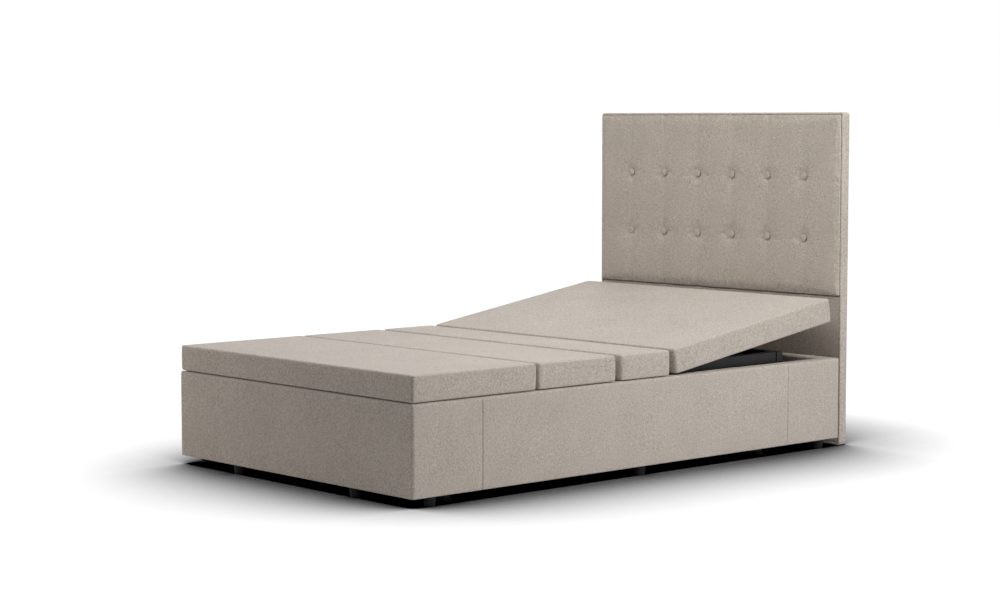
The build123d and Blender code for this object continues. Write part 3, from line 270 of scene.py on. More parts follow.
def grid_faces(index, closed=False):
    """Quads between neighbours of an index grid; closed joins its last column to its first."""
    if closed:
        index = np.concatenate([index, index[:, :1]], axis=1)
    quads = np.stack([index[:-1, :-1], index[1:, :-1], index[1:, 1:], index[:-1, 1:]], axis=-1)
    return [tuple(q) for q in quads.reshape(-1, 4).tolist()]


def stations(low, high, radius, middle):
    """Grid stations along one side: a few over each corner square, the given ones between."""
    turn = np.linspace(0.0, 1.0, CORNER_STEPS + 1)
    middle = np.clip(middle, low + radius, high - radius)
    return np.concatenate([low + radius * turn[:-1], middle, high - radius + radius * turn[1:]])


def plan_grid(low, high, radius, lines):
    """Rectangle grid with round corners: each corner square is squeezed along its diagonals to a
    quarter disc, d -> d * max(|dx|, |dy|) / |d|, so that its border becomes an arc."""
    radius = max(radius, 1e-5)
    x, y = np.meshgrid(
        stations(low[0], high[0], radius, lines[0]), stations(low[1], high[1], radius, lines[1]),
        indexing="ij",
    )
    dx = x - np.clip(x, low[0] + radius, high[0] - radius)
    dy = y - np.clip(y, low[1] + radius, high[1] - radius)
    squeeze = np.maximum(abs(dx), abs(dy)) / np.maximum(np.hypot(dx, dy), 1e-12)
    return x - dx + dx * squeeze, y - dy + dy * squeeze


def border(grid):
    """The outer row of a 2-D array, once round without repeating a corner."""
    return np.concatenate([grid[:-1, 0], grid[-1, :-1], grid[:0:-1, -1], grid[0, :0:-1]])


def edge_arc(radius, steps):
    """(inset, drop) along a quarter round: inset r(1 - sin t) and drop r(1 - cos t)."""
    turn = np.radians(np.linspace(0.0, 90.0, steps + 1))
    return [(radius * (1.0 - s), radius * (1.0 - c)) for s, c in zip(np.sin(turn), np.cos(turn))]


def skin(face, rings, back):
    """Closed shell from a face grid, rings of its border's points and a back grid. Returns points and
    faces; the grids are (n, m, 3) arrays whose borders match the rings, which are (k, 3) arrays."""
    index = np.arange(face[..., 0].size).reshape(face.shape[:2])
    points, faces, last, count = [face.reshape(-1, 3)], grid_faces(index), border(index), index.size
    for ring in rings:
        points.append(ring)
        following = np.arange(count, count + len(ring))
        faces += grid_faces(np.stack([last, following]), closed=True)
        last, count = following, count + len(ring)
    back_index = np.arange(count, count + back[..., 0].size).reshape(back.shape[:2])
    points.append(back.reshape(-1, 3))
    faces += grid_faces(np.stack([last, border(back_index)]), closed=True)
    faces += grid_faces(back_index[::-1])
    return np.concatenate(points), faces


def slab(half_x, half_y, corner_radius, rings, cells, face, shift):
    """Closed slab in its own axes. rings is a list of (inset, height) from the face's border to the
    back's; face(x, y), if given, lifts the face, and shift(points) moves everything into place."""
    core = np.array([half_x, half_y]) - corner_radius
    lines = [np.linspace(-c, c, n + 1) for c, n in zip(core, cells)]

    def level(inset, height):
        low, high = (-half_x + inset, -half_y + inset), (half_x - inset, half_y - inset)
        x, y = plan_grid(low, high, corner_radius - inset, lines)
        return np.stack([x, y, np.full_like(x, height)], axis=-1)

    front = level(*rings[0])
    if face:
        front[..., 2] += face(front[..., 0], front[..., 1])
    sides = [
        np.stack([border(level(*ring)[..., i]) for i in range(3)], axis=-1) for ring in rings[1:-1]
    ]
    points, faces = skin(front, sides, level(*rings[-1]))
    return shift(points), faces


def points_of(piece):
    """A piece's points as an (n, 3) array."""
    flat = np.empty(len(piece.data.vertices) * 3)
    piece.data.vertices.foreach_get("co", flat)
    return flat.reshape(-1, 3)


def joined(parts):
    """Several (points, faces) shells as one list of points and faces."""
    starts = np.cumsum([0] + [len(part[0]) for part in parts[:-1]])
    faces = [tuple(i + start for i in face) for start, part in zip(starts, parts) for face in part[1]]
    return np.concatenate([part[0] for part in parts]), faces


def set_in(points, origin, across, along):
    """Local x, y and z carried onto the axes across, along and their cross product, at origin."""
    across, along = np.array(across, float), np.array(along, float)
    return np.array(origin) + points @ np.stack([across, along, np.cross(across, along)])


def ripples(u, v, wavelength, seed, waves=7):
    """Soft unevenness of stretched cloth: the mean of seeded sine waves in all directions, -1 to 1."""
    rng = np.random.default_rng(seed)
    total = np.zeros_like(u)
    for _ in range(waves):
        turn, phase = rng.uniform(0, np.pi), rng.uniform(0, 2 * np.pi)
        k = 2 * np.pi / (wavelength * rng.uniform(0.6, 1.6))
        total += np.sin(k * (u * np.cos(turn) + v * np.sin(turn)) + phase)
    return total / waves


def bell(distance, width):
    """exp(-(distance / width)^2)."""
    return np.exp(-((distance / width) ** 2))


def crown(x, y, half_x, half_y, rise, sharpness):
    """Foam crown: rise in the middle, nothing at the border, as a product of 1 - t^sharpness."""
    return rise * (1 - abs(x / half_x) ** sharpness) * (1 - abs(y / half_y) ** sharpness)


# %% [markdown]
# ## The surround's four rails
# Each rail is a board wrapped in thin foam and cloth. The foam rounds the top edge and gives the
# face a slight crown. The cloth comes off a roll 1.47 m wide, so each long side has two vertical
# seams, where it dips into a sewn groove. The rails meet in mitres, and the corner turns on a small
# radius. A rail is its cross-section carried along its length, cut back at 45 degrees at both ends.

# %% Rails
FOAM_CROWN = 1.2 * MM
SEAM_DIP = 3.2 * MM
SEAM_HALF = 1.5 * MM
SEAM_PULL = 0.7 * MM
SEAM_PULL_REACH = 14 * MM
RAIL_RIPPLE = 0.5 * MM
RAIL_RIPPLE_LENGTH = 0.34
RAIL_TOP_ROUND = 10 * MM
RAIL_HEM_ROUND = 4 * MM
CORNER_ROUND = 10 * MM
SEAM_FROM_END = 0.289
END_FADE = 60 * MM
FACE_FADE = 12 * MM
RAIL_CELLS = 180
RAIL_FACE_CELLS = 33
ROUND_STEPS = 8

foot_low, foot_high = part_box("foot_rail")
outer_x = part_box("side_rail_right")[1].x
foot_y = foot_low.y
head_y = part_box("head_rail")[1].y
rail_bottom, rail_top = foot_low.z, foot_high.z
rail_thickness = foot_high.y - foot_low.y


def rail_section(thickness, height):
    """Closed section as (depth behind the outer face, height): four rounded corners and a crown."""
    parts = []
    corners = (
        (RAIL_TOP_ROUND, RAIL_TOP_ROUND, height - RAIL_TOP_ROUND, 180.0),
        (RAIL_TOP_ROUND, thickness - RAIL_TOP_ROUND, height - RAIL_TOP_ROUND, 90.0),
        (RAIL_HEM_ROUND, thickness - RAIL_HEM_ROUND, RAIL_HEM_ROUND, 0.0),
        (RAIL_HEM_ROUND, RAIL_HEM_ROUND, RAIL_HEM_ROUND, -90.0),
    )
    for radius, centre_d, centre_h, start in corners:
        turn = np.radians(start - np.linspace(0.0, 90.0, ROUND_STEPS + 1))
        arc = [centre_d + radius * np.cos(turn), centre_h + radius * np.sin(turn)]
        parts.append(np.stack(arc, axis=-1))
    face_h = np.linspace(RAIL_HEM_ROUND, height - RAIL_TOP_ROUND, RAIL_FACE_CELLS + 1)[1:-1]
    parts.append(np.stack([np.zeros_like(face_h), face_h], axis=-1))
    return np.concatenate(parts)


def rail_points(length, thickness, height, seams, seed):
    """Rail in its own axes: x along, y out of the outer face, z up; the middle of the outer face's
    bottom line is the origin. Mitre: a point d behind the face stops d short of the corner. The
    stations crowd within 30 mm of the ends and within 8 mm of the seams."""
    section = rail_section(thickness, height)
    depth, level = section[:, 0], section[:, 1]
    corner_stop = CORNER_ROUND * (1 - 1 / math.sqrt(2))
    shares = np.linspace(-1.0, 1.0, RAIL_CELLS + 1)
    ends = 1 - np.geomspace(1.0, 60.0, 16) * 0.5 * MM / (length / 2)
    near_seams = [(s + d * MM) / (length / 2) for s in seams for d in np.linspace(-8.0, 8.0, 17)]
    shares = np.unique(np.concatenate([shares, ends, -ends, near_seams]).round(6))
    stop = length / 2 - np.maximum(depth, corner_stop)
    along = shares[:, None] * stop[None, :]
    from_end = length / 2 - abs(along)
    bend = np.clip(CORNER_ROUND - from_end, 0.0, CORNER_ROUND)
    inset = CORNER_ROUND - np.sqrt(CORNER_ROUND ** 2 - bend ** 2)
    behind = inset + depth[None, :] * (thickness - inset) / thickness
    face_share = np.clip(1 - depth / FACE_FADE, 0.0, 1.0)[None, :]
    mid = np.clip(1 - ((level - height / 2) / (height / 2)) ** 4, 0.0, 1.0)[None, :]
    fade = np.clip(from_end / END_FADE, 0.0, 1.0) ** 0.5
    heights = level[None, :] + 0 * along
    uneven = RAIL_RIPPLE * ripples(along, heights, RAIL_RIPPLE_LENGTH, seed)
    out = (FOAM_CROWN + uneven) * mid * fade * face_share
    for seam in seams:
        gap = abs(along - seam)
        out -= SEAM_DIP * bell(gap, SEAM_HALF) * face_share
        out -= SEAM_PULL * np.exp(-gap / SEAM_PULL_REACH) * face_share
    return np.stack([along, out - behind, heights], axis=-1)


def make_rail(name, length, origin, along, seams, seed):
    """A rail mesh: the section loop joined between stations and closed by a face at each mitre."""
    points = rail_points(length, rail_thickness, rail_top - rail_bottom, seams, seed)
    index = np.arange(points.shape[0] * points.shape[1]).reshape(points.shape[:2])
    faces = grid_faces(index, closed=True)
    faces += [tuple(index[0].tolist()), tuple(index[-1, ::-1].tolist())]
    along = np.array(along, float)
    outward = np.cross(along, (0, 0, 1))
    placed = np.array(origin) + points.reshape(-1, 3) @ np.stack([along, outward, (0, 0, 1)])
    piece = new_piece(name, placed, faces, fabric)
    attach(piece, "base")
    return piece


bed_length = head_y - foot_y
bed_middle = (head_y + foot_y) / 2
seam_places = [-(bed_length / 2 - SEAM_FROM_END), bed_length / 2 - SEAM_FROM_END]
width = 2 * outer_x
rails = {
    "foot_rail": (width, (0, foot_y, rail_bottom), (1, 0, 0), [], 1),
    "head_rail": (width, (0, head_y, rail_bottom), (-1, 0, 0), [], 2),
    "side_rail_right": (bed_length, (outer_x, bed_middle, rail_bottom), (0, 1, 0), seam_places, 3),
    "side_rail_left": (bed_length, (-outer_x, bed_middle, rail_bottom), (0, -1, 0), seam_places, 4),
}
for rail_name, (length, origin, along, seams, seed) in rails.items():
    rail = make_rail(rail_name + "_cover", length, origin, along, seams, seed)
    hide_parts(rail_name)
    print(rail.name, len(rail.data.polygons), "faces")

# %% [markdown]
# ## The deck's four covers
# Each section of the deck is a plywood board with a thin foam pad and deep padded edges, wrapped in
# the same cloth. A top panel is sewn to a boxing strip round the sides, which leaves a fine dark
# line just inside the top edge. At the hinge gaps the cloth wraps the board's edge. The head section
# rests tilted, so its cover is worked out flat and then turned about the hinge.

# %% Section places
def tilted(points, pivot, tilt):
    """Points turned by tilt about the X line through pivot: (y, z) -> (yc - zs, ys + zc)."""
    turn = math.radians(tilt)
    moved = np.array(points, float)
    y, z = moved[:, 1] - pivot[1], moved[:, 2] - pivot[2]
    moved[:, 1] = pivot[1] + y * math.cos(turn) - z * math.sin(turn)
    moved[:, 2] = pivot[2] + y * math.sin(turn) + z * math.cos(turn)
    return moved


def flat_box(names, pivot, tilt):
    """Bounds of nodes after turning their points back by tilt about the X line through pivot."""
    points = np.concatenate([[v.co[:] for v in frame["nodes"][n].data.vertices] for n in names])
    flat = tilted(points, pivot, -tilt)
    return flat.min(0), flat.max(0)


# %% Cover shape
TOP_ROUND = 7 * MM
HEM_ROUND = 7 * MM
LIP_THICKNESS = 1.5 * MM
LIP_HEM = 0.7 * MM
DECK_CROWN = 1.6 * MM
DECK_RIPPLE_LENGTH = 0.3
SIDE_BULGE = 0.9 * MM
SIDE_RIPPLE = 0.5 * MM
SIDE_RIPPLE_LENGTH = 0.17
SIDE_ROWS = 10
TOP_SEAM = 0.9 * MM
TOP_SEAM_INSET = 4 * MM
TOP_SEAM_WIDTH = 1.6 * MM
INNER_ROUND = 3 * MM
RAMP = 6 * MM
STAND_BACK = 2.6 * MM
STAND_BACK_DEPTH = 12 * MM
CEILING_GAP = 0.5 * MM
CELL_X, CELL_Y = 0.020, 0.018
END_MARGIN = 0.015
SHARP_ANGLE = 48


def cover_lines(low, high, inner_low, inner_high):
    """Stations over the outer plan and where they go on the inner plan. Both grids have as many, and
    an interpolation through four matching places carries one onto the other."""
    outer, inner = [], []
    for axis in (0, 1):
        first, last = low[axis] + CORNER_ROUND, high[axis] - CORNER_ROUND
        inner_first, inner_last = inner_low[axis] + INNER_ROUND, inner_high[axis] - INNER_ROUND
        if axis == 0:
            near, far = inner_low[0] + RAMP, inner_high[0] - RAMP
            middle = np.concatenate([
                [first, (first + inner_low[0]) / 2, inner_low[0]],
                np.linspace(near, far, round((far - near) / CELL_X)),
                [inner_high[0], (last + inner_high[0]) / 2, last],
            ])
        else:
            near, far = max(first, inner_first) + END_MARGIN, min(last, inner_last) - END_MARGIN
            middle = np.linspace(near, far, round((far - near) / CELL_Y))
            middle = np.concatenate([[first], middle, [last]])
        outer.append(middle)
        inner.append(np.interp(middle, [first, near, far, last], [inner_first, near, far, inner_last]))
    return outer, inner


def cover_shell(low, high, board, skirted, seed):
    """Section cover as one shell: crowned top, round edge, bulging side, round hem, inner wall and
    ceiling. low and high are its CAD bounds and board its plywood's. At an open end, between the
    skirts, the side is only a lip over the board's edge, so the depth is a function of the place."""
    thickness = high[0] - board[1][0]
    top, ceiling = high[2], board[1][2] - high[2] + CEILING_GAP
    depth_full, depth_lip = high[2] - low[2], high[2] - board[0][2]
    outer_low, outer_high = low[:2].copy(), high[:2].copy()
    inner_low, inner_high = low[:2] + thickness, high[:2] - thickness
    if not skirted[0]:
        inner_low[1], outer_low[1] = low[1], low[1] - LIP_THICKNESS
    if not skirted[1]:
        inner_high[1], outer_high[1] = high[1], high[1] + LIP_THICKNESS
    outer_lines, inner_lines = cover_lines(outer_low, outer_high, inner_low, inner_high)

    def outer_plan(inset):
        return plan_grid(outer_low + inset, outer_high - inset, CORNER_ROUND - inset, outer_lines)

    edge = np.stack([border(part) for part in outer_plan(0.0)], axis=-1)
    normal = edge - np.stack([border(part) for part in outer_plan(1 * MM)], axis=-1)
    normal /= np.linalg.norm(normal, axis=1, keepdims=True)
    middle_y = (outer_low[1] + outer_high[1]) / 2
    open_end = np.where(edge[:, 1] < middle_y, not skirted[0], not skirted[1])
    on_end = (abs(normal[:, 1]) > 0.99) & open_end & (abs(edge[:, 0]) < inner_high[0] - RAMP * 0.5)
    depth = np.where(on_end, depth_lip, depth_full)
    hem = np.where(on_end, LIP_HEM, HEM_ROUND)

    def stand_back(inset, drop):
        """Open ends lean back towards their top, so that sections clear each other as they fold."""
        near_top = np.clip(1 - drop / STAND_BACK_DEPTH, 0, 1) * (1 - inset / TOP_ROUND)
        return STAND_BACK * near_top * open_end * abs(normal[:, 1])

    def ring(inset, height):
        place = edge - normal * np.broadcast_to(inset, depth.shape)[:, None]
        return np.concatenate([place, np.broadcast_to(height, depth.shape)[:, None]], axis=1)

    x, y = outer_plan(TOP_ROUND)
    half = (outer_high - outer_low) / 2
    inner_edge = np.minimum(half[0] - abs(x), half[1] - abs(y - middle_y))
    uneven = 0.6 + 0.4 * ripples(x, y, DECK_RIPPLE_LENGTH, seed)
    lift = crown(x, y - middle_y, *half, DECK_CROWN, 6) * uneven
    lift -= TOP_SEAM * bell(inner_edge - TOP_ROUND - TOP_SEAM_INSET, TOP_SEAM_WIDTH)
    face = np.stack([x, y, lift], axis=-1)
    arc = edge_arc(TOP_ROUND, 5)[1:]
    rings = [ring(inset + stand_back(inset, drop), -drop) for inset, drop in arc]
    for share in np.linspace(0.0, 1.0, SIDE_ROWS + 1)[1:]:
        height = -TOP_ROUND - share * (depth - TOP_ROUND - hem)
        swell = SIDE_BULGE * (1 - (2 * share - 1) ** 4)
        swell += SIDE_RIPPLE * ripples(edge.sum(axis=1), height, SIDE_RIPPLE_LENGTH, seed + 3)
        swell *= (1 - on_end) * min(1.0, 4 * (1 - share))
        rings.append(ring(stand_back(0.0, -height) - swell, height))
    for turn in np.radians((20, 40, 60, 80)):
        rings.append(ring((1 - math.cos(turn)) * hem, -depth + hem * (1 - math.sin(turn))))
    rings.append(ring(hem, -depth))
    inner = plan_grid(inner_low, inner_high, INNER_ROUND, inner_lines)
    wall = np.stack([border(part) for part in inner], axis=-1)
    for height in (-depth, -depth * 0.6 - 0.4 * abs(ceiling)):
        rings.append(np.concatenate([wall, height[:, None]], axis=1))
    back = np.stack([inner[0], inner[1], np.full_like(inner[0], ceiling)], axis=-1)
    points, faces = skin(face, rings, back)
    return points + np.array([0.0, 0.0, top]), faces


# %% Covers
def section_cover(name, body, pivot, tilt, skirted, seed):
    """One deck section's cover, worked out flat, turned to its rest tilt and set to ride its body."""
    nodes = [f"{name}_pad", f"{name}_side_skirts"] + ([f"{name}_end_skirt"] if any(skirted) else [])
    low, high = flat_box(nodes, pivot, tilt)
    board = flat_box([f"{name}_board"], pivot, tilt)
    points, faces = cover_shell(low, high, board, skirted, seed)
    cloth = fabric_tilted if tilt else fabric
    cover = new_piece(f"{name}_cover", tilted(points, pivot, tilt), faces, cloth)
    cover.data.set_sharp_from_angle(angle=math.radians(SHARP_ANGLE))
    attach(cover, body)
    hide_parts(*nodes)
    return cover


head_pivot = joints["head_lift"]["pos_m"]
thigh_pivot = joints["thigh_lift"]["pos_m"]
knee_pivot = joints["knee_fold"]["pos_m"]
for cover in (
    section_cover("head", "head_section", head_pivot, REST_TILT, (False, True), 5),
    section_cover("seat", "base", head_pivot, 0.0, (False, False), 6),
    section_cover("thigh", "thigh_section", thigh_pivot, 0.0, (False, False), 7),
    section_cover("calf", "calf_section", knee_pivot, 0.0, (True, False), 8),
):
    print(cover.name, len(cover.data.polygons), "faces")

# %% [markdown]
# ## The headboard
# The headboard is a board wrapped in cloth with a tufted panel let into its front. Twelve covered
# buttons are pulled into the foam by twine from behind. Along each column the cloth falls into a
# soft upright fold, and the top edge puckers where a fold meets it. The panel is one height field.
# Folds and dimples fall off as exp(-distance / width), and creases and puckers are bell curves,
# exp(-(distance / width)^2).

# %% Tufted panel
PANEL_EDGE_ROUND = 7 * MM
PANEL_SINK = 2.4 * MM
SETTLE_DEPTH = 2.4 * MM
SETTLE_WIDTH = 45 * MM
PANEL_RIPPLE = 0.5 * MM
PANEL_RIPPLE_LENGTH = 0.16
PANEL_SEED = 12
BUTTONS_ACROSS = 6
BUTTON_RADIUS = 13 * MM
DIMPLE_DEPTH = 5.6 * MM
DIMPLE_REACH = 17 * MM
RAY_HEIGHT = 0.35 * MM
RAY_MIDDLE = 22 * MM
RAY_REACH = 14 * MM
FOLD_DEPTH = 6.2 * MM
FOLD_LEFT = 20 * MM
FOLD_RIGHT = 28 * MM
FOLD_WANDER = 1.6 * MM
FOLD_WAVE = 9.0
FOLD_FADE = 90 * MM
PUCKER = 1.6 * MM
PUCKER_WIDTH = 6 * MM
PUCKER_REACH = 18 * MM
DRAWN_IN_WIDTH = 7 * MM
DRAWN_IN_REACH = 14 * MM
CREASE_DEPTH = 1.0 * MM
CREASE_BELOW = 10 * MM
CREASE_ABOVE = 3 * MM
CREASE_DROP = 8 * MM
CREASE_WANDER = 2.5 * MM
CREASE_WAVE = 7.0
CREASE_PAST_BUTTON = 60 * MM
CREASE_FADE = 12 * MM

panel_low, panel_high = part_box("headboard_pad")
button_low, button_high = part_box("headboard_buttons")
column_x = np.linspace(button_low.x + BUTTON_RADIUS, button_high.x - BUTTON_RADIUS, BUTTONS_ACROSS)
row_z = np.array([button_low.z + BUTTON_RADIUS, button_high.z - BUTTON_RADIUS])
column_pitch = column_x[1] - column_x[0]
panel_middle_z = (panel_low.z + panel_high.z) / 2
panel_half = np.array([(panel_high.x - panel_low.x) / 2, (panel_high.z - panel_low.z) / 2])
print("button columns", column_x.round(3), "rows", row_z.round(3))


def panel_face(x, v):
    """Height of the tufted face over its flat plane: lower at the edges, dimpled and rayed round the
    buttons, slightly uneven. x runs across and v up."""
    z = v + panel_middle_z
    edge_x = np.clip((panel_half[0] - abs(x)) / SETTLE_WIDTH, 0, 1)
    edge_z = np.clip((panel_half[1] - abs(v)) / SETTLE_WIDTH, 0, 1)
    settle = np.sqrt(1 - (1 - edge_x) ** 2) * np.sqrt(1 - (1 - edge_z) ** 2)
    height = -SETTLE_DEPTH * (1 - settle)
    rng = np.random.default_rng(PANEL_SEED)
    for column in column_x:
        for row in row_z:
            dx, dz = x - column, z - row
            r = np.hypot(dx, dz)
            height -= DIMPLE_DEPTH * np.exp(-np.clip(r - BUTTON_RADIUS, 0, None) / DIMPLE_REACH)
            angle = np.arctan2(dz, dx)
            rays = np.cos(7 * angle + rng.uniform(0, 6.3))
            rays += 0.7 * np.cos(11 * angle + rng.uniform(0, 6.3))
            rays *= np.exp(-abs(r - RAY_MIDDLE) / RAY_REACH) * (r > 0.7 * BUTTON_RADIUS)
            height += RAY_HEIGHT * rays
    return height + PANEL_RIPPLE * ripples(x, z, PANEL_RIPPLE_LENGTH, 31) * settle


def panel_folds(x, v):
    """Depth of the upright folds, exp(-|distance| / width), and of the creases along the rows."""
    z = v + panel_middle_z
    depth = np.zeros_like(x)
    rng = np.random.default_rng(PANEL_SEED)
    nearest = np.min([abs(z - row) for row in row_z], axis=0)
    deep = 0.5 + 0.5 * np.exp(-nearest / FOLD_FADE)
    ends = sum(np.exp(-(panel_half[1] + side * v) / PUCKER_REACH) for side in (-1, 1))
    for column in column_x:
        off = x - column - FOLD_WANDER * np.sin(z * FOLD_WAVE + rng.uniform(0, 6.3))
        depth += FOLD_DEPTH * deep * np.exp(-abs(off) / np.where(off < 0, FOLD_LEFT, FOLD_RIGHT))
        depth += PUCKER * ends * bell(off, PUCKER_WIDTH)
    inside = 1 / (1 + np.exp((abs(x) - abs(column_x[0]) - CREASE_PAST_BUTTON) / CREASE_FADE))
    near_button = 0.4 + 0.6 * abs(np.cos(np.pi * (x - column_x[0]) / column_pitch))
    for row in row_z:
        line = z - row + CREASE_DROP + CREASE_WANDER * np.sin(x * CREASE_WAVE)
        profile = bell(line, np.where(line < 0, CREASE_BELOW, CREASE_ABOVE))
        depth += CREASE_DEPTH * near_button * inside * profile
    return depth


def panel_shift(points):
    """Edges drawn in where a fold meets them: near top and bottom, v moves in by a bell curve of x."""
    moved = points.copy()
    x, v = points[:, 0], points[:, 1]
    pull = sum(bell(x - column, DRAWN_IN_WIDTH) for column in column_x)
    near = np.clip(1 - (panel_half[1] - abs(v)) / DRAWN_IN_REACH, 0, 1)
    moved[:, 1] -= np.sign(v) * PUCKER * pull * near
    return set_in(moved, (0, panel_low.y, panel_middle_z), (1, 0, 0), (0, 0, 1))


panel_depth = panel_high.y - panel_low.y
panel_rings = [(i, -d - PANEL_SINK) for i, d in edge_arc(PANEL_EDGE_ROUND, 6)]
panel_rings += [(0.0, -panel_depth + 2 * MM), (2 * MM, -panel_depth + 0.3 * MM)]
points, faces = slab(*panel_half, 9 * MM, panel_rings, (210, 116), panel_face, panel_shift)
panel = new_piece("headboard_panel", points, faces, fabric)
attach(panel, "base")
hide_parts("headboard_pad")
print("tufted panel", len(faces), "faces")

# %% [markdown]
# ## The panel's cloth, simulated
# The cover is cut a little larger than the board and pushed out by the foam under it, while the
# buttons and the fixed border hold it. A cloth simulation gives the small pulls that come of it.
# Every point keeps within a cap of its place, and the result is written into the mesh. The folds are
# laid over it afterwards.

# %% Cloth simulation
CLOTH_FRAMES = 18
CLOTH_CAP = 2.6 * MM
CLOTH_MASS = 0.3
CLOTH_STRETCH, CLOTH_SHEAR, CLOTH_BEND = 15.0, 5.0, 0.5
FOAM_PRESSURE = 4.0
CLOTH_EXCESS = 0.009
HELD_ROUND_BUTTON = 1.12 * BUTTON_RADIUS
HELD_AT_BORDER = 1.5 * MM
HELD_BEHIND = 9 * MM
FOLDS_BEHIND = 14 * MM


def simulated(piece, held, cap, pressure, growth):
    """Moves the free points of a piece as cloth under pressure; p -> p + d * min(1, cap / |d|)."""
    mesh, start = piece.data, points_of(piece)
    group = piece.vertex_groups.new(name="held")
    group.add(np.flatnonzero(held).tolist(), 1.0, "REPLACE")
    modifier = piece.modifiers.new("cloth", "CLOTH")
    cloth = modifier.settings
    cloth.quality = 4
    cloth.mass = CLOTH_MASS
    cloth.tension_stiffness = cloth.compression_stiffness = CLOTH_STRETCH
    cloth.shear_stiffness = CLOTH_SHEAR
    cloth.bending_stiffness = CLOTH_BEND
    cloth.use_pressure = True
    cloth.uniform_pressure_force = pressure
    cloth.shrink_min = -growth
    cloth.vertex_group_mass = group.name
    cloth.effector_weights.gravity = 0.0
    modifier.point_cache.frame_start, modifier.point_cache.frame_end = 1, CLOTH_FRAMES
    for frame_number in range(1, CLOTH_FRAMES + 1):
        bpy.context.scene.frame_set(frame_number)
    settled = piece.evaluated_get(bpy.context.evaluated_depsgraph_get()).data
    end = np.empty_like(start).ravel()
    settled.vertices.foreach_get("co", end)
    moved = end.reshape(-1, 3) - start
    length = np.linalg.norm(moved, axis=1)
    print(piece.name, "moved at most", round(length.max() / MM, 1), "mm before the cap of", cap / MM)
    moved *= np.minimum(1.0, cap / np.maximum(length, 1e-9))[:, None]
    piece.modifiers.remove(modifier)
    piece.vertex_groups.clear()
    mesh.vertices.foreach_set("co", (start + moved).ravel())
    mesh.update()
    bpy.context.scene.frame_set(1)


start = points_of(panel)
face_depth = start[:, 1] - panel_low.y
x, z = start[:, 0], start[:, 2]
to_button = np.min([np.hypot(x - column, z - row) for column in column_x for row in row_z], axis=0)
to_border = np.minimum(panel_half[0] - abs(x), panel_half[1] - abs(z - panel_middle_z))
held = (to_button < HELD_ROUND_BUTTON) | (to_border < HELD_AT_BORDER) | (face_depth > HELD_BEHIND)
simulated(panel, held, CLOTH_CAP, FOAM_PRESSURE, CLOTH_EXCESS)
settled_points = points_of(panel)
on_face = np.clip(1 - face_depth / FOLDS_BEHIND, 0, 1)
fold_depth = panel_folds(settled_points[:, 0], settled_points[:, 2] - panel_middle_z)
settled_points[:, 1] += on_face * fold_depth
panel.data.vertices.foreach_set("co", settled_points.ravel())
panel.data.update()

# %% [markdown]
# ## Wrapped board, lower panel and buttons
# The board's cloth turns the front edge on a small round and runs back along the sides. The lower
# panel is plain, because it stays behind the mattress. A covered button is a shallow dome of cloth
# over a metal shell, turned on its own axis, and a shank holds it in the foam.

# %% Headboard body
BOARD_EDGE_ROUND = 5 * MM
POCKET_EDGE = 9 * MM
LOWER_CROWN = 0.8 * MM
LOWER_RIPPLE = 0.4 * MM
LOWER_RIPPLE_LENGTH = 0.25

board_low, board_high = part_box("headboard_frame")
board_half = np.array([(board_high.x - board_low.x) / 2, (board_high.z - board_low.z) / 2])
board_depth = board_high.y - board_low.y
lower_low, lower_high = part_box("headboard_lower_panel")
pocket_depth = lower_high.y - lower_low.y
board_rings = [(POCKET_EDGE, -pocket_depth), (POCKET_EDGE, -4 * MM)]
board_rings += [(POCKET_EDGE - 0.7 * MM, -1.6 * MM), (POCKET_EDGE - 2 * MM, -0.3 * MM)]
board_rings += [(BOARD_EDGE_ROUND + 0.6 * MM, 0.0)]
board_rings += [(i, -d) for i, d in edge_arc(BOARD_EDGE_ROUND, 6)]
board_rings += [(0.0, -board_depth * 0.5), (0.0, -board_depth + 4 * MM)]
board_rings += [(1.2 * MM, -board_depth + 1.2 * MM), (4 * MM, -board_depth + 0.1 * MM)]
points, faces = slab(
    *board_half, 12 * MM, board_rings, (60, 60), None,
    lambda p: set_in(p, (0, board_low.y, board_half[1]), (1, 0, 0), (0, 0, 1)),
)
board = new_piece("headboard_body", points, faces, fabric)
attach(board, "base")
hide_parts("headboard_frame")

lower_size = np.array([lower_high.x - lower_low.x, lower_high.z - POCKET_EDGE])
lower_half = lower_size / 2 - np.array([0.3, 0.5]) * MM
lower_middle = (lower_high.z + POCKET_EDGE) / 2
lower_rings = [(i, -d - 0.8 * MM) for i, d in edge_arc(5 * MM, 5)]
lower_rings += [(0.0, -pocket_depth + 1 * MM), (1.5 * MM, -pocket_depth + 0.2 * MM)]


def lower_face(x, v):
    """Height of the plain panel: a crown, and the cloth's unevenness."""
    uneven = LOWER_RIPPLE * ripples(x, v, LOWER_RIPPLE_LENGTH, 41)
    return crown(x, v, *lower_half, LOWER_CROWN, 6) + uneven


points, faces = slab(
    *lower_half, 6 * MM, lower_rings, (90, 44), lower_face,
    lambda p: set_in(p, (0, lower_low.y, lower_middle), (1, 0, 0), (0, 0, 1)),
)
lower = new_piece("headboard_lower_cover", points, faces, fabric)
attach(lower, "base")
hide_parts("headboard_lower_panel")


# %% Buttons
BUTTON_DOME = 2.4 * MM
BUTTON_TURNS = 28
# From the rim inwards: share of the radius, and depth behind the dome's top in millimetres.
BUTTON_UNDERSIDE = np.array([(0.97, 3.9), (0.86, 5.6), (0.5, 6.4), (0.42, 11.5)])


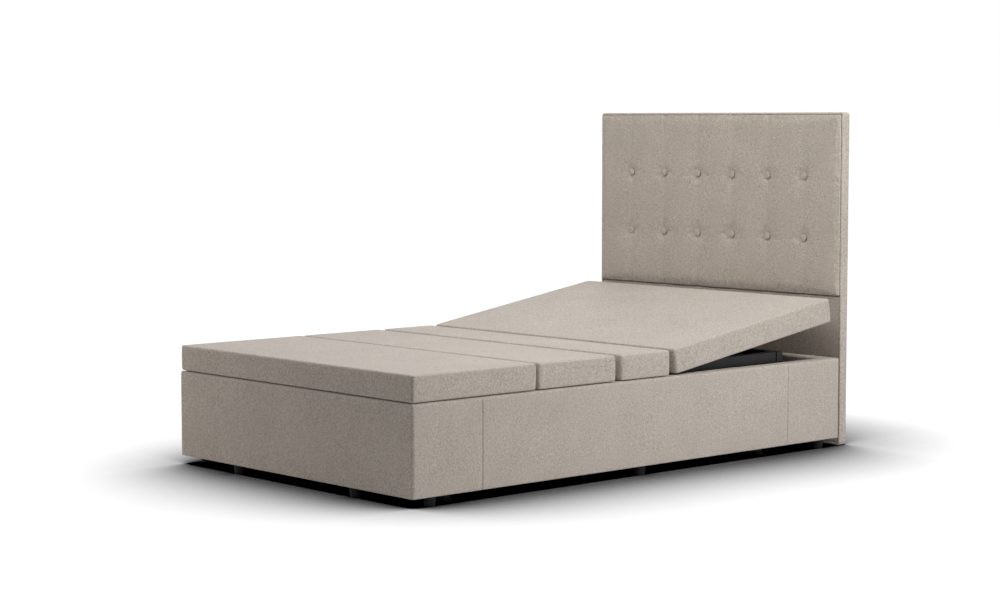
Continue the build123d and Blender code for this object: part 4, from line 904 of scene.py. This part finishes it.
def button_shell(x, z, front):
    """Dome turned about Y: a quarter ellipse, then the edge rolls under to the shank."""
    sweep = np.linspace(0.0, np.pi / 2, 8)[1:]
    radius = BUTTON_RADIUS * np.concatenate([np.sin(sweep), BUTTON_UNDERSIDE[:, 0]])
    back = np.concatenate([BUTTON_DOME * (1 - np.cos(sweep)), BUTTON_UNDERSIDE[:, 1] * MM])
    angle = np.linspace(0, 2 * np.pi, BUTTON_TURNS, endpoint=False)
    ring_x = x + radius[:, None] * np.cos(angle)
    ring_z = z + radius[:, None] * np.sin(angle)
    ring_y = front + np.repeat(back[:, None], BUTTON_TURNS, 1)
    rings = np.stack([ring_x, ring_y, ring_z], axis=-1).reshape(-1, 3)
    points = np.concatenate([[[x, front, z]], rings])
    index = np.arange(1, len(points)).reshape(len(radius), BUTTON_TURNS)
    faces = grid_faces(index, closed=True)
    faces += [(0, int(a), int(b)) for a, b in zip(index[0], np.roll(index[0], -1))]
    faces += [tuple(index[-1, ::-1].tolist())]
    return points, faces


shells = [button_shell(x, z, button_low.y) for z in row_z for x in column_x]
points, faces = joined(shells)
buttons = new_piece("covered_buttons", points, faces, fabric)
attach(buttons, "base")
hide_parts("headboard_buttons")
print("buttons", len(shells), "of radius", BUTTON_RADIUS)

# %% [markdown]
# ## Backing cloth
# The back is closed with a thin grey non-woven cloth. Its edge is folded under all round, and it
# sags a little between the board's battens.

# %% Backing cloth
FLECK_MM = 2.5
WELD_MM = 4.0
FOLD_IN = 16 * MM
FOLD_STEP = 0.8 * MM
FOLD_LIFT = 0.7 * MM
BACKING_SINK = 0.8 * MM
SAG = 0.7 * MM
SAG_LENGTH = 0.22
SAG_FROM_EDGE = 0.1
WELD_DEPTH = 0.4 * MM

backing, tree = new_material("nonwoven_backing")
place = object_place(tree)
fleck = noise(tree, place, FLECK_MM, 3.0, 0.7)
weld_inputs = {"Scale": cycles_per(WELD_MM), "Randomness": 0.15, "Vector": place}
welds = add_node(tree, "TexVoronoi", weld_inputs, feature="F1").outputs["Distance"]
fleck_colour = colour_ramp(tree, fleck, (0.3, "#55524F"), (0.7, "#696663"))
weld_normal = bumped(tree, welds, 0.5, WELD_DEPTH)
close_material(tree, fleck_colour, 0.95, weld_normal, Specular_IOR_Level=0.2)

back_low, back_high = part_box("headboard_back_cover")
back_half = np.array([(back_high.x - back_low.x) / 2, (back_high.z - back_low.z) / 2])
back_middle = (back_high.z + back_low.z) / 2


def backing_face(x, v):
    """Cloth height over the board: a folded hem round the edge, then soft sags between battens."""
    edge = np.minimum(back_half[0] - abs(x), back_half[1] - abs(v))
    past_fold = np.minimum((edge - FOLD_IN) / FOLD_STEP, 50.0)
    hem = FOLD_LIFT / (1 + np.exp(past_fold))
    sag = SAG * ripples(x, v, SAG_LENGTH, 51, waves=9) * np.clip(edge / SAG_FROM_EDGE, 0, 1)
    return hem - BACKING_SINK + sag


back_rings = [(1.2 * MM, -0.4 * MM), (0.4 * MM, -BACKING_SINK), (0.0, -1.6 * MM)]
back_rings += [(0.6 * MM, -2.8 * MM)]
points, faces = slab(
    *back_half, 5 * MM, back_rings, (150, 150), backing_face,
    lambda p: set_in(p, (0, back_high.y, back_middle), (-1, 0, 0), (0, 0, 1)),
)
back_sheet = new_piece("backing_sheet", points, faces, backing)
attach(back_sheet, "base")
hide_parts("headboard_back_cover")
print("backing sheet", len(faces), "faces")

# %% [markdown]
# ## Steel, plate, plastic, rubber and plywood
# The frame and its brackets are powder-coated: fine grains of paint melted on steel, satin and
# slightly pebbled. Pins, screws, bolts and the surround's corner brackets are zinc-plated, bright
# with a faint blue-grey cloud. The drives are moulded plastic with a spark-eroded grain. Each finish
# is named for how its surface was made.

# %% Simple finishes
BROAD_MM = 45.0


def grained(name, dark, pale, grain_mm, bump_mm, roughness, spread, **values):
    """Noise of one grain size drives colour from dark to pale, roughness about its value, and bump."""
    material, tree = new_material(name)
    place = object_place(tree)
    grain = noise(tree, place, grain_mm, 4.0, 0.6)
    both = mixed(tree, 0.5, grain, noise(tree, place, BROAD_MM, 2.0))
    colour = colour_ramp(tree, both, (0.35, dark), (0.65, pale))
    matt = remapped(tree, both, NOISE_LOW, NOISE_HIGH, roughness - spread, roughness + spread)
    close_material(tree, colour, matt, bumped(tree, grain, 0.5, bump_mm * MM), **values)
    return material


# Polyester powder coat: orange-peel pebble about 1.5 mm across, satin.
powder_coat = grained(
    "satin_powder_coat", "#111112", "#19191B", 1.6, 0.12, 0.42, 0.05, Specular_IOR_Level=0.3,
)
# Bright zinc plate with a clear passivate: metal, slightly cloudy.
zinc_plate = grained("bright_zinc_plate", "#A9ADB2", "#C6C9CC", 6.0, 0.03, 0.3, 0.08, Metallic=1.0)
# Ground and chromed rod: nearly a mirror.
chrome_rod = grained("chromed_rod", "#D4D6D9", "#E2E4E6", 3.0, 0.01, 0.1, 0.03, Metallic=1.0)
# Glass-filled nylon, moulded against a spark-eroded face: matt with a fine grain.
moulded_nylon = grained(
    "moulded_black_nylon", "#141415", "#1D1D1E", 1.1, 0.1, 0.52, 0.06, Specular_IOR_Level=0.3,
)
# Natural rubber filled with carbon black: soft and dull.
black_rubber = grained(
    "carbon_black_rubber", "#111111", "#181818", 2.0, 0.08, 0.8, 0.05, Specular_IOR_Level=0.25,
)

# %% [markdown]
# ## Plywood
# Plywood shows long fibres on its faces and its plies as bands on its edges. The bands follow the
# height, and how far the surface turns away from level, 1 - |normal z|, says where an edge is.

# %% Birch plywood
FIBRE_MM = 7.0
FIBRE_STRETCH = 0.06
PLY_PAIR_MM = 2.8
PLY_CONTRAST = 0.22
FIBRE_DEPTH = 0.2 * MM

birch, tree = new_material("birch_plywood")
place = object_place(tree)
along_grain = add_node(tree, "Mapping", {"Vector": place, "Scale": (1.0, FIBRE_STRETCH, 1.0)})
fibre = noise(tree, along_grain.outputs["Vector"], FIBRE_MM, 5.0, 0.65)
bands = sine_wave(tree, component(tree, place, "Z"), PLY_PAIR_MM)
normal = add_node(tree, "NewGeometry").outputs["Normal"]
edge_share = arithmetic(
    tree, "SUBTRACT", 1.0, arithmetic(tree, "ABSOLUTE", component(tree, normal, "Z")),
)
edge_bands = arithmetic(tree, "MULTIPLY", bands, edge_share)
tone = arithmetic(tree, "MULTIPLY_ADD", edge_bands, PLY_CONTRAST, fibre)
wood_colour = colour_ramp(tree, tone, (0.3, "#B58E5E"), (0.7, "#DDBE90"))
close_material(tree, wood_colour, 0.55, bumped(tree, fibre, 0.3, FIBRE_DEPTH))

# %% Finishes on the CAD nodes
finishes = {
    "upholstery": fabric,
    "birch_ply": birch,
    "black_steel": powder_coat,
    "zinc_steel": zinc_plate,
    "rod_steel": chrome_rod,
    "rubber": black_rubber,
    "back_cloth": backing,
    "black_plastic": moulded_nylon,
}
for node in frame["nodes"].values():
    for material_slot in node.material_slots:
        material_slot.material = finishes[material_slot.material.name]
print("finished", len(frame["nodes"]), "CAD nodes")

# %% [markdown]
# ## Floor and light
# The bed stands on a white sweep, which to the camera is pure white away from the bed. Close to the
# bed a soft shade, as under any low wide box, is painted into the floor's glow and colour: ambient
# occlusion, the share of the sky that the bed hides, drives that painted shade, and the lamps' own
# shadows fall on top of it.

# %% Floor
FLOOR_HALF = 60.0
SHADOW_REACH = 0.9
SHADOW_SAMPLES = 32
SKY_DARK, SKY_OPEN = 0.5, 0.96
SHADOW_CURVE = 1.35
LIT_SHARE = 0.12
WHITE = (1.0, 1.0, 1.0, 1.0)


def seen_directly(tree):
    """1 on camera, glossy and transmission rays, 0 on the rays that carry soft light."""
    rays = add_node(tree, "LightPath").outputs
    seen = arithmetic(tree, "MAXIMUM", rays["Is Camera Ray"], rays["Is Glossy Ray"])
    return arithmetic(tree, "MAXIMUM", seen, rays["Is Transmission Ray"])


def two_looks(tree, plain, seen):
    """One shader for the rays that carry soft light and another for the rays that are seen."""
    return add_node(tree, "MixShader", {0: seen_directly(tree), 1: plain, 2: seen}).outputs[0]


floor_material, tree = new_material("white_studio_sweep")
sky_share = add_node(
    tree, "AmbientOcclusion", {"Distance": SHADOW_REACH}, samples=SHADOW_SAMPLES,
).outputs["AO"]
# Painted shade: ambient occlusion darkens the floor's glow and colour near the bed.
painted_contact_shade = arithmetic(tree, "POWER", remapped(tree, sky_share, SKY_DARK, SKY_OPEN), SHADOW_CURVE)
lit = scaled(tree, (LIT_SHARE, LIT_SHARE, LIT_SHARE), painted_contact_shade)
seen_lit = add_node(tree, "BsdfDiffuse", {"Color": lit}).outputs["BSDF"]
seen_glow = add_node(tree, "Emission", {"Color": WHITE, "Strength": painted_contact_shade}).outputs["Emission"]
seen_floor = add_node(tree, "AddShader", {0: seen_lit, 1: seen_glow}).outputs[0]
plain_floor = add_node(tree, "BsdfDiffuse", {"Color": linear("#CFCFCF")}).outputs["BSDF"]
add_node(tree, "OutputMaterial", {"Surface": two_looks(tree, plain_floor, seen_floor)})

signs = ((-1, -1), (1, -1), (1, 1), (-1, 1))
corners = [(x_sign * FLOOR_HALF, y_sign * FLOOR_HALF, 0) for x_sign, y_sign in signs]
floor_mesh = bpy.data.meshes.new("studio_floor")
floor_mesh.from_pydata(corners, [], [(0, 1, 2, 3)])
floor_mesh.materials.append(floor_material)
floor = bpy.data.objects.new("studio_floor", floor_mesh)
bpy.context.scene.collection.objects.link(floor)

# %% World
WORLD_FILL = 0.22

world = bpy.data.worlds.new("studio_world")
world.use_nodes = True
bpy.context.scene.world = world
tree = world.node_tree
tree.nodes.clear()
fill = add_node(tree, "Background", {"Color": WHITE, "Strength": WORLD_FILL}).outputs[0]
white = add_node(tree, "Background", {"Color": WHITE, "Strength": 1.0}).outputs[0]
add_node(tree, "OutputWorld", {"Surface": two_looks(tree, fill, white)})


# %% Lamps
def soft_lamp(name, place, aim, size, power, colour=(1.0, 1.0, 1.0)):
    """Square area lamp at place, turned to face aim."""
    data = bpy.data.lights.new(name, "AREA")
    data.shape = "SQUARE"
    data.size = size
    data.energy = power
    data.color = colour
    lamp = bpy.data.objects.new(name, data)
    lamp.location = place
    lamp.rotation_euler = (Vector(aim) - Vector(place)).to_track_quat("-Z", "Y").to_euler()
    bpy.context.scene.collection.objects.link(lamp)


soft_lamp("right_head_lamp", (3.2, 0.8, 2.6), (0.3, 0.3, 0.4), 1.5, 84)
soft_lamp("top_lamp", (0.3, -0.8, 3.2), (0.0, 0.6, 0.7), 1.2, 40)
soft_lamp("left_front_lamp", (-2.6, -2.3, 0.8), (-0.5, -1.0, 0.2), 1.0, 21, (1.0, 0.93, 0.86))
soft_lamp("back_left_lamp", (-3.0, 3.4, 2.4), (0.0, 0.8, 0.6), 1.5, 45)
